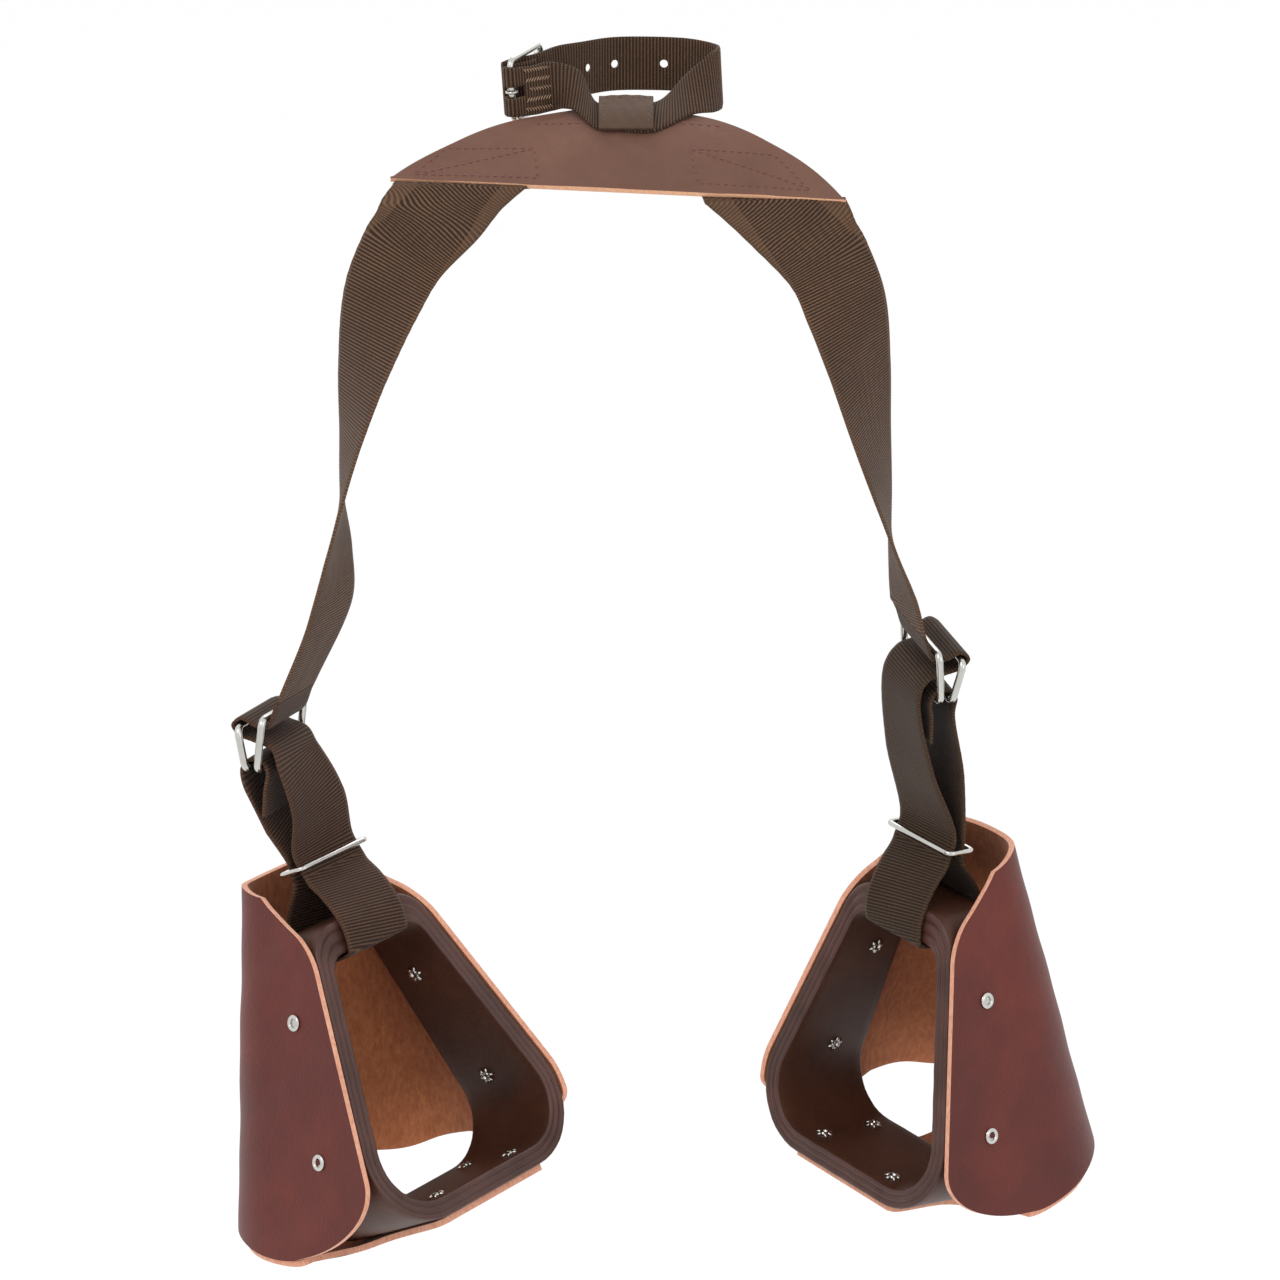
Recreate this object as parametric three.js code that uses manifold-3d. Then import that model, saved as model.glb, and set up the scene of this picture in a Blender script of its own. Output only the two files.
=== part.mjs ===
// A pair of hooded buddy stirrups: two small stirrups hung from a saddle horn on nylon webbing.
// Frame: X across the saddle, +Y towards the toes of the hoods, +Z up, millimetres.
// Origin: the centre of the horn loop, where the saddle horn stands.
import * as THREE from 'three';
import { mergeVertices } from 'three/addons/utils/BufferGeometryUtils.js';
import Module from 'manifold-3d';

const wasm = await Module();
wasm.setup();

// ---------------------------------------------------------------- driving dimensions
const WEB = { width: 44.5, thick: 2.2 };            // 1 3/4 in nylon webbing
const HORN_WEB = { width: 27.5, thick: 2.0 };         // the lighter webbing of the horn strap
const GAP = 0.35;                                   // clearance between neighbouring pieces

const YOKE = {
  ridge: [-20, -31],          // y, z of the bend line between the flat top and the front flap
  topSlope: 14,               // degrees, how far the flat top falls towards the front
  flapSlope: 47,              // degrees, how far the front flap falls
  thick: 3.2,                 // leather
  halfWidth: [112, 116],      // left and right of the origin
};
const FRAME = {
  halfBottom: 72,             // inner half width at the tread
  lean: 16.5,                 // degrees, each leg leans inwards
  height: 134,                // inner height, tread to underside of the top bar
  wall: 10,                   // thickness of the strip
  topBar: 17,                 // thickness of the top bar
  bottomRadius: 27,
  topRadius: 12,
  halfDepth: 33,              // at the tread
  depthTaper: 0.087,          // the strip narrows upwards by this much per millimetre, each side
};
const HOOD = { thick: 3.4, topNear: 152, topToe: 184, toeReach: 116, toeSlope: 0.43, sole: -10.5, scoop: 34, flare: 7 };
const PINCH = { up: 175, gap: 1.5 };          // where the two plies meet above the top bar
const RIVET = { shank: 2.1, head: 4.6, star: 3.9, sunk: 1.8 };   // sunk: the tread's ones lie below its face
const TREAD_RIVETS = [[-32, -18], [-32, 18], [28, -20]];       // outward, forward
const LEG_RIVETS = { outer: [[1, 107], [1, 37]], inner: [[6, 105], [6, 39]] };   // forward, up
const RING = { wire: 2.0, inner: 47.5, tall: 22 };
const KEEPER = { wire: 1.5, width: 49, deep: 17, above: 7 };

const SIDES = {
  left: {
    outward: -1,
    pinch: -8,                // how far outwards of the middle the plies meet
    stirrup: { at: [-88, -60, -580], yaw: 48, pitch: -25, roll: -6 },
    adjuster: { at: [-178, -20, -338], bar: [0.36, 0.93, 0] },
  },
  right: {
    outward: 1,
    pinch: -8,
    stirrup: { at: [148, 56, -607], yaw: -51, pitch: -5, roll: 7 },
    adjuster: { at: [167, 30, -312], bar: [0.32, -0.92, -0.2] },
  },
};

// ---------------------------------------------------------------- colours
const paint = (color, roughness, metalness = 0) =>
  new THREE.MeshStandardMaterial({ color, roughness, metalness });
const LOOK = {
  webbing: paint(0x3d2e24, 0.8),
  yokeLeather: paint(0x7c5d50, 0.75),
  hoodLeather: paint(0x6e2f27, 0.5),
  strip: paint(0x4a2e24, 0.55),
  nickel: paint(0xc9c9cc, 0.25, 1),
};

// ---------------------------------------------------------------- geometry helpers
const vec = (x, y, z) => new THREE.Vector3(x, y, z);
const deg = THREE.MathUtils.degToRad;
const root = new THREE.Group();

function add(parent, name, geometry, material) {
  const mesh = new THREE.Mesh(geometry, material);
  mesh.name = name;
  parent.add(mesh);
  return mesh;
}

function facingOut(geometry) {
  const p = geometry.getAttribute('position');
  const index = geometry.getIndex().array;
  const [a, b, c] = [vec(), vec(), vec()];
  let volume = 0;
  for (let i = 0; i < index.length; i += 3) {
    a.fromBufferAttribute(p, index[i]);
    b.fromBufferAttribute(p, index[i + 1]);
    c.fromBufferAttribute(p, index[i + 2]);
    volume += a.dot(b.cross(c));
  }
  if (volume < 0) {
    for (let i = 0; i < index.length; i += 3) {
      [index[i], index[i + 1]] = [index[i + 1], index[i]];
    }
  }
  return geometry;
}

function fromTriangles(points, triangles) {
  const geometry = new THREE.BufferGeometry();
  geometry.setAttribute('position', new THREE.Float32BufferAttribute(points.flatMap(p => [p.x, p.y, p.z]), 3));
  geometry.setIndex(triangles);
  return facingOut(geometry);
}

// A plate between two grids of points with the same rows and columns, closed round its rim.
function plate(front, back) {
  const rows = front.length;
  const cols = front[0].length;
  const at = (side, r, c) => side * rows * cols + r * cols + c;
  const triangles = [];
  const quad = (a, b, c, d) => triangles.push(a, b, c, a, c, d);
  for (let r = 0; r < rows - 1; r++) {
    for (let c = 0; c < cols - 1; c++) {
      quad(at(0, r, c), at(0, r, c + 1), at(0, r + 1, c + 1), at(0, r + 1, c));
      quad(at(1, r, c), at(1, r + 1, c), at(1, r + 1, c + 1), at(1, r, c + 1));
    }
  }
  for (let c = 0; c < cols - 1; c++) {
    quad(at(0, 0, c), at(1, 0, c), at(1, 0, c + 1), at(0, 0, c + 1));
    quad(at(0, rows - 1, c), at(0, rows - 1, c + 1), at(1, rows - 1, c + 1), at(1, rows - 1, c));
  }
  for (let r = 0; r < rows - 1; r++) {
    quad(at(0, r, 0), at(0, r + 1, 0), at(1, r + 1, 0), at(1, r, 0));
    quad(at(0, r, cols - 1), at(1, r, cols - 1), at(1, r + 1, cols - 1), at(0, r + 1, cols - 1));
  }
  return fromTriangles([...front.flat(), ...back.flat()], triangles);
}

// A strip of webbing. Each station is [centre, direction across the strip]; both are smoothed. A skew strip keeps
// the directions and their lengths as given, so that its end can be cut at a slant.
function ribbon(stations, web, steps = 6, skew = false) {
  const centre = new THREE.CatmullRomCurve3(stations.map(s => vec(...s[0])), false, 'centripetal');
  const directions = stations.map(s => (skew ? vec(...s[1]) : vec(...s[1]).normalize()));
  const across = new THREE.CatmullRomCurve3(directions, false, 'centripetal');
  const count = (stations.length - 1) * steps;
  const front = [];
  const back = [];
  for (let i = 0; i <= count; i++) {
    const t = i / count;
    const p = centre.getPoint(t);
    const tangent = centre.getTangent(t);
    const wide = across.getPoint(t);
    if (!skew) wide.addScaledVector(tangent, -wide.dot(tangent)).normalize();
    const normal = tangent.clone().cross(wide).normalize().multiplyScalar(web.thick / 2);
    const edges = [-0.5, 0.5].map(k => p.clone().addScaledVector(wide, k * web.width));
    front.push(edges.map(e => e.clone().add(normal)));
    back.push(edges.map(e => e.clone().sub(normal)));
  }
  return plate(front, back);
}

// Round wire bent into a closed loop through the points.
function wireLoop(points, radius, up) {
  const sides = 7;
  const count = points.length;
  const grid = points.map((p, i) => {
    const tangent = points[(i + 1) % count].clone().sub(points[(i + count - 1) % count]).normalize();
    const outwards = tangent.clone().cross(up).normalize();
    return Array.from({ length: sides }, (_, k) => {
      const angle = (k / sides) * 2 * Math.PI;
      return p.clone()
        .addScaledVector(outwards, radius * Math.cos(angle))
        .addScaledVector(up, radius * Math.sin(angle));
    });
  });
  const triangles = [];
  for (let i = 0; i < count; i++) {
    for (let k = 0; k < sides; k++) {
      const a = i * sides + k;
      const b = i * sides + (k + 1) % sides;
      const c = ((i + 1) % count) * sides + (k + 1) % sides;
      const d = ((i + 1) % count) * sides + k;
      triangles.push(a, b, c, a, c, d);
    }
  }
  return fromTriangles(grid.flat(), triangles);
}

// Points round a rectangle with round corners, in the plane of two directions.
function roundRectangle(centre, alongX, alongY, width, height, corner) {
  const points = [];
  const perCorner = 3;
  for (let q = 0; q < 4; q++) {
    const sx = q === 0 || q === 3 ? 1 : -1;
    const sy = q < 2 ? 1 : -1;
    for (let k = 0; k <= perCorner; k++) {
      const angle = deg(q * 90 + (k / perCorner) * 90);
      points.push(centre.clone()
        .addScaledVector(alongX, sx * (width / 2 - corner) + corner * Math.cos(angle))
        .addScaledVector(alongY, sy * (height / 2 - corner) + corner * Math.sin(angle)));
    }
  }
  return points;
}

function solidOf(geometry) {
  const bare = geometry.clone();
  bare.deleteAttribute('normal');
  bare.deleteAttribute('uv');
  const merged = mergeVertices(bare, 1e-3);
  return new wasm.Manifold(new wasm.Mesh({
    numProp: 3,
    vertProperties: new Float32Array(merged.getAttribute('position').array),
    triVerts: new Uint32Array(merged.getIndex().array),
  }));
}

function geometryOf(solid) {
  const mesh = solid.getMesh();
  const geometry = new THREE.BufferGeometry();
  geometry.setAttribute('position', new THREE.BufferAttribute(new Float32Array(mesh.vertProperties), 3));
  geometry.setIndex([...mesh.triVerts]);
  return geometry;
}

const cut = (body, tools) => geometryOf(tools.reduce((s, t) => s.subtract(solidOf(t)), solidOf(body)));
const join = (...bodies) => geometryOf(bodies.slice(1).reduce((s, b) => s.add(solidOf(b)), solidOf(bodies[0])));

// A rod or drill from point a to point b.
function rod(a, b, radius, sides = 9) {
  const along = b.clone().sub(a);
  const geometry = new THREE.CylinderGeometry(radius, radius, along.length(), sides);
  const turn = new THREE.Quaternion().setFromUnitVectors(vec(0, 1, 0), along.clone().normalize());
  return geometry.applyQuaternion(turn).translate(...a.clone().add(b).multiplyScalar(0.5).toArray());
}

// ---------------------------------------------------------------- the stirrup
const leanSlope = Math.tan(deg(FRAME.lean));
const wallAcross = FRAME.wall / Math.cos(deg(FRAME.lean));
const legInner = up => FRAME.halfBottom - up * leanSlope;
const legOuter = up => legInner(up) + wallAcross;

// A trapezium with round corners as a closed three.js outline.
function trapezium(Kind, bottom, top, halfBottom, halfTop, bottomRadius, topRadius) {
  const corners = [[halfBottom, bottom, bottomRadius], [halfTop, top, topRadius],
    [-halfTop, top, topRadius], [-halfBottom, bottom, bottomRadius]];
  const outline = new Kind();
  corners.forEach(([x, y, radius], i) => {
    const here = new THREE.Vector2(x, y);
    const before = new THREE.Vector2(...corners[(i + 3) % 4]).sub(here).normalize();
    const after = new THREE.Vector2(...corners[(i + 1) % 4]).sub(here).normalize();
    const half = Math.acos(before.dot(after)) / 2;
    const centre = here.clone().addScaledVector(before.clone().add(after).normalize(), radius / Math.sin(half));
    const start = here.clone().addScaledVector(before, radius / Math.tan(half));
    const end = here.clone().addScaledVector(after, radius / Math.tan(half));
    if (i === 0) outline.moveTo(start.x, start.y);
    else outline.lineTo(start.x, start.y);
    outline.absarc(centre.x, centre.y, radius, start.sub(centre).angle(), end.sub(centre).angle(), false);
  });
  outline.closePath();
  return outline;
}

function upright(geometry) {
  return geometry.applyMatrix4(new THREE.Matrix4().makeBasis(vec(1, 0, 0), vec(0, 0, 1), vec(0, -1, 0)));
}

function frameGeometry(drills) {
  const { height, wall, topBar, halfDepth, depthTaper, bottomRadius, topRadius } = FRAME;
  const outline = trapezium(THREE.Shape, -wall, height + topBar,
    legOuter(-wall), legOuter(height + topBar), bottomRadius + wall, topRadius + wall);
  outline.holes.push(trapezium(THREE.Path, 0, height, legInner(0), legInner(height), bottomRadius, topRadius));
  const strip = upright(new THREE.ExtrudeGeometry(outline, {
    depth: 4 * halfDepth, bevelEnabled: false, curveSegments: 6,
  })).translate(0, 2 * halfDepth, 0);
  const half = up => halfDepth - up * depthTaper;
  const [low, high] = [-2 * wall, height + 3 * wall];
  const side = new THREE.Shape([[-half(low), low], [half(low), low], [half(high), high], [-half(high), high]]
    .map(p => new THREE.Vector2(...p)));
  const wedge = new THREE.ExtrudeGeometry(side, { depth: 4 * FRAME.halfBottom, bevelEnabled: false })
    .applyMatrix4(new THREE.Matrix4().makeBasis(vec(0, 1, 0), vec(0, 0, 1), vec(1, 0, 0)))
    .translate(-2 * FRAME.halfBottom, 0, 0);
  return cut(geometryOf(solidOf(strip).intersect(solidOf(wedge))), drills);
}

// The hood's wall runs from the outer leg (-1) round the toe (0) to the inner leg (+1).
const STRAIGHT = 0.46;
const hoodHalf = up => legOuter(up) + 0.7;
const hoodReach = up => HOOD.toeReach - up * HOOD.toeSlope;
const hoodRound = up => 62 - 0.18 * up;

function hoodPoint(s, up) {
  const side = Math.sign(s) || 1;
  const near = -(FRAME.halfDepth - up * FRAME.depthTaper);
  const bend = hoodReach(up) - hoodRound(up);
  const part = Math.abs(s);
  if (part >= STRAIGHT) {
    const t = (1 - part) / (1 - STRAIGHT);
    return vec(side * hoodHalf(up), near + t * (bend - near), up);
  }
  const angle = (1 - part / STRAIGHT) * Math.PI / 2;
  const square = 2 / 2.4;
  return vec(side * hoodHalf(up) * Math.cos(angle) ** square,
    bend + hoodRound(up) * Math.sin(angle) ** square, up);
}

const smooth = (a, b, x) => THREE.MathUtils.smoothstep(x, a, b);

function hoodTop(s) {
  const part = Math.abs(s);
  const corner = 14 * smooth(0.86, 1, part) ** 2;
  return HOOD.topNear + 8 + (HOOD.topToe - HOOD.topNear - 8) * (1 - smooth(0.2, 0.85, part)) - corner;
}

// The sole tab's upper face: flat under the tread, scooped up towards the toe and flared up to the outer wall.
const soleUp = (out, forward) => HOOD.sole + HOOD.flare * smooth(48, 84, out)
  + HOOD.scoop * (Math.max(0, forward - FRAME.halfDepth) / 80) ** 1.5;

function hoodBottom(s) {
  const outerCorner = 22 * smooth(0.84, 1, -s) ** 2;
  const innerCorner = 12 * smooth(0.8, 1, s) ** 2;
  const free = 10 + 7 * (1 - smooth(0.3, 0.8, s));
  const foot = hoodPoint(s, 0);
  const joined = soleUp(-foot.x, foot.y) - 1.6 + outerCorner;
  return THREE.MathUtils.lerp(joined, free + innerCorner, smooth(0.1, 0.26, s));
}

function hoodWall(outward) {
  const columns = 28;
  const rows = 5;
  const inside = [];
  const outside = [];
  for (let i = 0; i <= columns; i++) {
    const s = -1 + (2 * i) / columns;
    const [low, high] = [hoodBottom(s), hoodTop(s)];
    const insideColumn = [];
    const outsideColumn = [];
    for (let j = 0; j <= rows; j++) {
      const up = low + ((high - low) * j) / rows;
      const p = hoodPoint(s, up);
      const step = 0.01;
      const along = hoodPoint(Math.min(s + step, 1), up).sub(hoodPoint(Math.max(s - step, -1), up));
      const rise = hoodPoint(s, up + 1).sub(p);
      const normal = rise.cross(along).normalize();
      insideColumn.push(p);
      outsideColumn.push(p.clone().addScaledVector(normal, HOOD.thick));
    }
    inside.push(insideColumn);
    outside.push(outsideColumn);
  }
  const flip = p => vec(-outward * p.x, p.y, p.z);
  return plate(inside.map(c => c.map(flip)), outside.map(c => c.map(flip)));
}

// The sole tab joins the wall at the outer front and runs back under the tread.
function hoodSole(outward) {
  const wall = [];
  for (let s = -0.62; s <= 0.2; s += 0.04) {
    const foot = hoodPoint(s, 0);
    const p = hoodPoint(s, soleUp(-foot.x, foot.y));
    const inset = p.clone().sub(vec(0, 40, 0)).normalize().multiplyScalar(0.8);
    wall.push([-(p.x + inset.x), p.y + inset.y]);
  }
  const points = [[-42, -27], [-39, -30], [38, -30], [41, -27], [44, 8], [54, 24], ...wall,
    [-44, 86], [-28, 70], [-18, 52], [-16, 40], [-24, 34], [-42, 32]];
  const outline = new THREE.Shape(points.map(([x, y]) => new THREE.Vector2(outward * x, y)));
  const prism = new THREE.ExtrudeGeometry(outline, { depth: 80, bevelEnabled: false }).translate(0, 0, -40);
  const layer = thick => Array.from({ length: 19 }, (_, i) => {
    const forward = i < 2 ? -40 + 70 * i : 30 + 6 * (i - 1);
    return Array.from({ length: 21 }, (_, k) => -100 + 10 * k)
      .map(out => vec(outward * out, forward, soleUp(out, forward) - thick));
  });
  return geometryOf(solidOf(plate(layer(0), layer(HOOD.thick))).intersect(solidOf(prism)));
}

// A tubular rivet: hollow head outside, shank, and the clinched end inside.
function rivetGeometry(from, to) {
  const { shank, head, star } = RIVET;
  const length = from.distanceTo(to);
  const profile = [[1.2, -0.2], [1.5, -0.9], [3.2, -1.3], [head, -0.5], [head, -0.05], [shank, 0],
    [shank, length], [star, length], [star - 0.3, length + 0.7], [0, length + 1], [0, 3], [1.2, 3]];
  const shape = profile.map(([r, y]) => new THREE.Vector2(r, y));
  const geometry = new THREE.LatheGeometry([new THREE.Vector2(0, 3), ...shape.slice(11), ...shape.slice(0, 10)], 9);
  const turn = new THREE.Quaternion().setFromUnitVectors(vec(0, 1, 0), to.clone().sub(from).normalize());
  return facingOut(mergeBare(geometry.applyQuaternion(turn).translate(...from.toArray())));
}

function mergeBare(geometry) {
  geometry.deleteAttribute('normal');
  geometry.deleteAttribute('uv');
  return mergeVertices(geometry, 1e-3);
}

// Both ends of every rivet of one stirrup: [name, outside point, inside point].
function rivetPlaces(outward) {
  const places = [];
  for (const [panel, sign] of [['outer', outward], ['inner', -outward]]) {
    LEG_RIVETS[panel].forEach(([forward, up], i) => {
      const lean = deg(FRAME.lean);
      const normal = vec(Math.cos(lean) * sign, 0, Math.sin(lean));
      const inner = vec(sign * legInner(up), forward, up).addScaledVector(normal, -GAP);
      const depth = (hoodHalf(up) - legInner(up)) * Math.cos(lean) + HOOD.thick + 2 * GAP;
      places.push([`rivet_${panel}_${i === 0 ? 'upper' : 'lower'}`, inner.clone().addScaledVector(normal, depth), inner]);
    });
  }
  TREAD_RIVETS.forEach(([out, forward], i) => {
    const below = HOOD.sole - HOOD.thick - GAP;
    places.push([`rivet_tread_${i + 1}`, vec(outward * out, forward, below), vec(outward * out, forward, -RIVET.sunk)]);
  });
  return places;
}

// The lower part of the hanger loop, round the stirrup's top bar.
function loopLower(side) {
  const half = 23.8;
  const low = FRAME.height - 2.2;
  const high = FRAME.height + FRAME.topBar;
  const lean = up => (side.outward * side.pinch * (up - low)) / (PINCH.up - low);
  const end = PINCH.up - PINCH.gap;
  const nearSide = [[-2.1, end], [-2.6, end - 4], [-half + 2, high + 3], [-half, high - 4], [-half, low + 4],
    [-half + 0.9, low + 0.8], [-half + 4.5, low]];
  const outline = [...nearSide, [0, low - 0.2], ...nearSide.map(([v, w]) => [-v, w]).reverse()];
  return ribbon(outline.map(([v, w]) => [[lean(w), v, w], [1, 0, 0]]), WEB, 3, true);
}

function stirrupGroup(side) {
  const { at, yaw, pitch, roll } = side.stirrup;
  const group = new THREE.Group();
  group.position.set(...at);
  group.rotation.set(deg(pitch), deg(roll), deg(yaw), 'ZXY');
  root.add(group);
  group.updateMatrixWorld(true);
  return group;
}

function addStirrup(label, side, group) {
  const rivets = rivetPlaces(side.outward);
  const drills = rivets.map(([, from, to]) => {
    const along = to.clone().sub(from).normalize().multiplyScalar(4);
    return rod(from.clone().sub(along), to.clone().add(along), RIVET.shank + 0.3);
  });
  const recesses = rivets.filter(([name]) => name.includes('tread'))
    .map(([, , to]) => rod(to.clone().add(vec(0, 0, -GAP)), to.clone().setZ(RIVET.sunk), RIVET.star + 2 * GAP, 12));
  add(group, `stirrup_frame_${label}`, frameGeometry([...drills, ...recesses]), LOOK.strip);
  const hood = join(hoodWall(side.outward), hoodSole(side.outward));
  add(group, `hood_${label}`, cut(hood, drills), LOOK.hoodLeather);
  for (const [name, from, to] of rivets) add(group, `${name}_${label}`, rivetGeometry(from, to), LOOK.nickel);
  add(group, `hanger_bight_${label}`, loopLower(side), LOOK.webbing);
}

// ---------------------------------------------------------------- adjuster and hanger plies
// Points of the adjuster are given as [across the strap, up] from its centre.
function adjusterFrame(side) {
  const bar = vec(...side.adjuster.bar).normalize();
  const normal = vec(bar.y, -bar.x, 0).normalize();
  const up = normal.clone().cross(bar).normalize();
  const centre = vec(...side.adjuster.at);
  const place = ([n, z]) => centre.clone().addScaledVector(normal, n).addScaledVector(up, z).toArray();
  return { bar, normal, up, centre, place };
}

function ringGeometry(frame, top, bottom) {
  const high = vec(...frame.place(top));
  const low = vec(...frame.place(bottom));
  const tall = high.clone().sub(low);
  const width = RING.inner + 2 * RING.wire;
  const direction = tall.clone().normalize();
  const centre = high.clone().add(low).multiplyScalar(0.5);
  const points = roundRectangle(centre, frame.bar, direction, width, tall.length(), 4);
  return wireLoop(points, RING.wire, frame.bar.clone().cross(direction).normalize());
}

function addAdjuster(label, side, group) {
  const frame = adjusterFrame(side);
  add(root, `ring_outer_${label}`, ringGeometry(frame, [-7.5, 0], [-3.2, -RING.tall]), LOOK.nickel);
  add(root, `ring_inner_${label}`, ringGeometry(frame, [6.5, 5.5], [3.2, -RING.tall]), LOOK.nickel);
  const pinch = (forward, above) =>
    vec(side.pinch * side.outward, forward, PINCH.up + PINCH.gap + above).applyMatrix4(group.matrixWorld);
  const across = vec(1, 0, 0).transformDirection(group.matrixWorld);
  const bar = frame.bar.clone().multiplyScalar(Math.sign(frame.bar.dot(across)));
  const turned = share => bar.clone().lerp(across, share).toArray();
  const between = (a, b, share, bulge) =>
    vec(...a).lerp(b, share).addScaledVector(frame.normal, bulge).toArray();
  const frontTop = frame.place([15, -21]);
  const backTop = frame.place([-6.5, -30]);
  add(root, `strap_front_${label}`, ribbon([
    ...[[13, 13], [7, 0.4], [0, 1.4], [-7, 4.2], [-12, 0.4], [-8, -4.6], [0, -7], [10, -10.5]]
      .map(p => [frame.place(p), turned(0)]),
    [frontTop, turned(0.15)], [between(frontTop, pinch(-2.1, 12), 0.5, 4), turned(0.6)],
    [pinch(-2.3, 10).toArray(), turned(1)], [pinch(-2.1, 0).toArray(), turned(1)],
  ], WEB, 4), LOOK.webbing);
  add(root, `strap_back_${label}`, ribbon([
    ...[[4.5, -48], [5.5, -34], [7, -23], [3.5, -18], [-3.5, -18], [-7, -22]].map(p => [frame.place(p), turned(0)]),
    [backTop, turned(0)], [between(backTop, pinch(2.1, 12), 0.5, -2), turned(0.6)],
    [pinch(2.3, 10).toArray(), turned(1)], [pinch(2.1, 0).toArray(), turned(1)],
  ], WEB, 4), LOOK.webbing);
}

function addKeeper(label, side, group) {
  const centre = vec(side.pinch * side.outward, 0, PINCH.up + KEEPER.above);
  const points = roundRectangle(centre, vec(1, 0, 0), vec(0, 1, 0),
    KEEPER.width + KEEPER.wire, KEEPER.deep, 3);
  add(group, `keeper_${label}`, wireLoop(points, KEEPER.wire, vec(0, 0, 1)), LOOK.nickel);
}

// ---------------------------------------------------------------- straps from the yoke to the adjusters
// Stations of each strap: centre, and the way across it. The slanted top end follows the yoke's edge.
const UPPER = {
  left: [
    [[-77, -50, -63.5], [1.5, 0, -0.05]],
    [[-93, -50, -74], [1.16, -0.02, -0.28]],
    [[-105.5, -48, -89], [0.87, -0.08, -0.49]],
    [[-117.5, -47, -114], [0.8, -0.5, -0.33]],
    [[-127.5, -46, -150], [0.54, -0.83, -0.15]],
    [[-134, -45, -185], [0.26, -0.96, -0.05]],
    [[-138.5, -44, -215], [0.06, -1, 0]],
    [[-141, -40, -246], [-0.24, -0.97, 0]],
    [[-146, -32, -278], [-0.42, -0.91, 0]],
  ],
  right: [
    [[79, -50.5, -67.5], [-1.5, 0, -0.08]],
    [[95, -48, -79], [-1.16, 0, -0.28]],
    [[107.5, -43, -95], [-0.87, 0.02, -0.49]],
    [[117.5, -35, -120], [-0.86, -0.38, -0.33]],
    [[125, -23, -152], [-0.7, -0.7, -0.15]],
    [[132, -8, -190], [-0.46, -0.89, -0.05]],
    [[139, 4, -226], [-0.22, -0.97, 0.05]],
    [[145, 14, -258], [0.04, -1, 0.12]],
    [[150.5, 22, -283], [0.22, -0.95, 0.2]],
  ],
};

function addUpperStrap(label, side) {
  const frame = adjusterFrame(side);
  const stations = UPPER[label];
  const last = stations[stations.length - 1][1];
  const sign = Math.sign(frame.bar.dot(vec(...last)));
  stations.push([frame.place([14.2, 15]), frame.bar.clone().multiplyScalar(sign).toArray()]);
  add(root, `strap_upper_${label}`, ribbon(stations, WEB, 3, true), LOOK.webbing);
}

// ---------------------------------------------------------------- the yoke
const ridge = vec(0, ...YOKE.ridge);
const topway = vec(0, Math.cos(deg(YOKE.topSlope)), Math.sin(deg(YOKE.topSlope)));
const flapway = vec(0, -Math.cos(deg(YOKE.flapSlope)), -Math.sin(deg(YOKE.flapSlope)));
const BEND = 9;                                     // length of the curved part each side of the ridge

// A point of the folded sheet: x across, d along it (+ up the flat top, - down the flap), lifted off it.
function onYoke(x, d, lift) {
  const curve = new THREE.QuadraticBezierCurve3(
    ridge.clone().addScaledVector(flapway, BEND), ridge, ridge.clone().addScaledVector(topway, BEND));
  const inBend = Math.abs(d) < BEND;
  const t = (d + BEND) / (2 * BEND);
  const base = inBend ? curve.getPoint(t) : ridge.clone().addScaledVector(d > 0 ? topway : flapway, Math.abs(d));
  const way = inBend ? curve.getTangent(t) : d > 0 ? topway : flapway.clone().negate();
  const normal = vec(1, 0, 0).cross(way).normalize();
  return base.addScaledVector(normal, lift).add(vec(x, 0, 0));
}

const YOKE_ARCH = { peak: 5, reach: 26 };         // x of the highest point of the upper edge, and its height
const yokeBottom = x => -(37.5 + 0.055 * x);

function yokeTop(x) {
  const [left, right] = YOKE.halfWidth;
  const { peak, reach } = YOKE_ARCH;
  const t = x < peak ? (peak - x) / (peak + left) : (x - peak) / (right - peak);
  const arch = x < peak ? 52 * t ** 1.25 + 5 * t ** 8 : 59 * t ** 1.25 + 12 * t ** 8;
  return Math.max(reach - arch, yokeBottom(x) + 1.5);
}

function yokeSheet(shift, thick, inset, rows = 6, columns = 20) {
  const [left, right] = YOKE.halfWidth;
  const top = [];
  const under = [];
  for (let i = 0; i <= columns; i++) {
    const x = THREE.MathUtils.lerp(-left + inset, right - inset, i / columns);
    const [low, high] = [yokeBottom(x) + inset, Math.max(yokeTop(x) - inset, yokeBottom(x) + inset + 1)];
    const ds = Array.from({ length: rows + 1 }, (_, j) => THREE.MathUtils.lerp(low, high, j / rows));
    top.push(ds.map(d => onYoke(x, d, shift + thick)));
    under.push(ds.map(d => onYoke(x, d, shift)));
  }
  return plate(top, under);
}

// The ends of the two main straps run crosswise under the leather, one below the other.
function strapRoot(sign, lift) {
  const [low, high] = [new THREE.Vector2(sign * 70, -30), new THREE.Vector2(-sign * 2, 10)];
  const way = high.clone().sub(low).normalize();
  const across = new THREE.Vector2(-way.y, way.x);
  const layer = height => Array.from({ length: 12 }, (_, i) => {
    const middle = low.clone().lerp(high, i / 11);
    return [-0.5, -0.25, 0, 0.25, 0.5].map(k => {
      const p = middle.clone().addScaledVector(across, k * 26);
      return onYoke(p.x, p.y, height);
    });
  });
  return plate(layer(lift), layer(lift - WEB.thick));
}

function addYoke() {
  add(root, 'yoke_leather', yokeSheet(0, YOKE.thick, 0), LOOK.yokeLeather);
  add(root, 'strap_root_left', strapRoot(-1, -0.8), LOOK.webbing);
  add(root, 'strap_root_right', strapRoot(1, -1.2 - WEB.thick), LOOK.webbing);
  add(root, 'yoke_lining', yokeSheet(-8.2, 2.4, 5), LOOK.yokeLeather);
}

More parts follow.
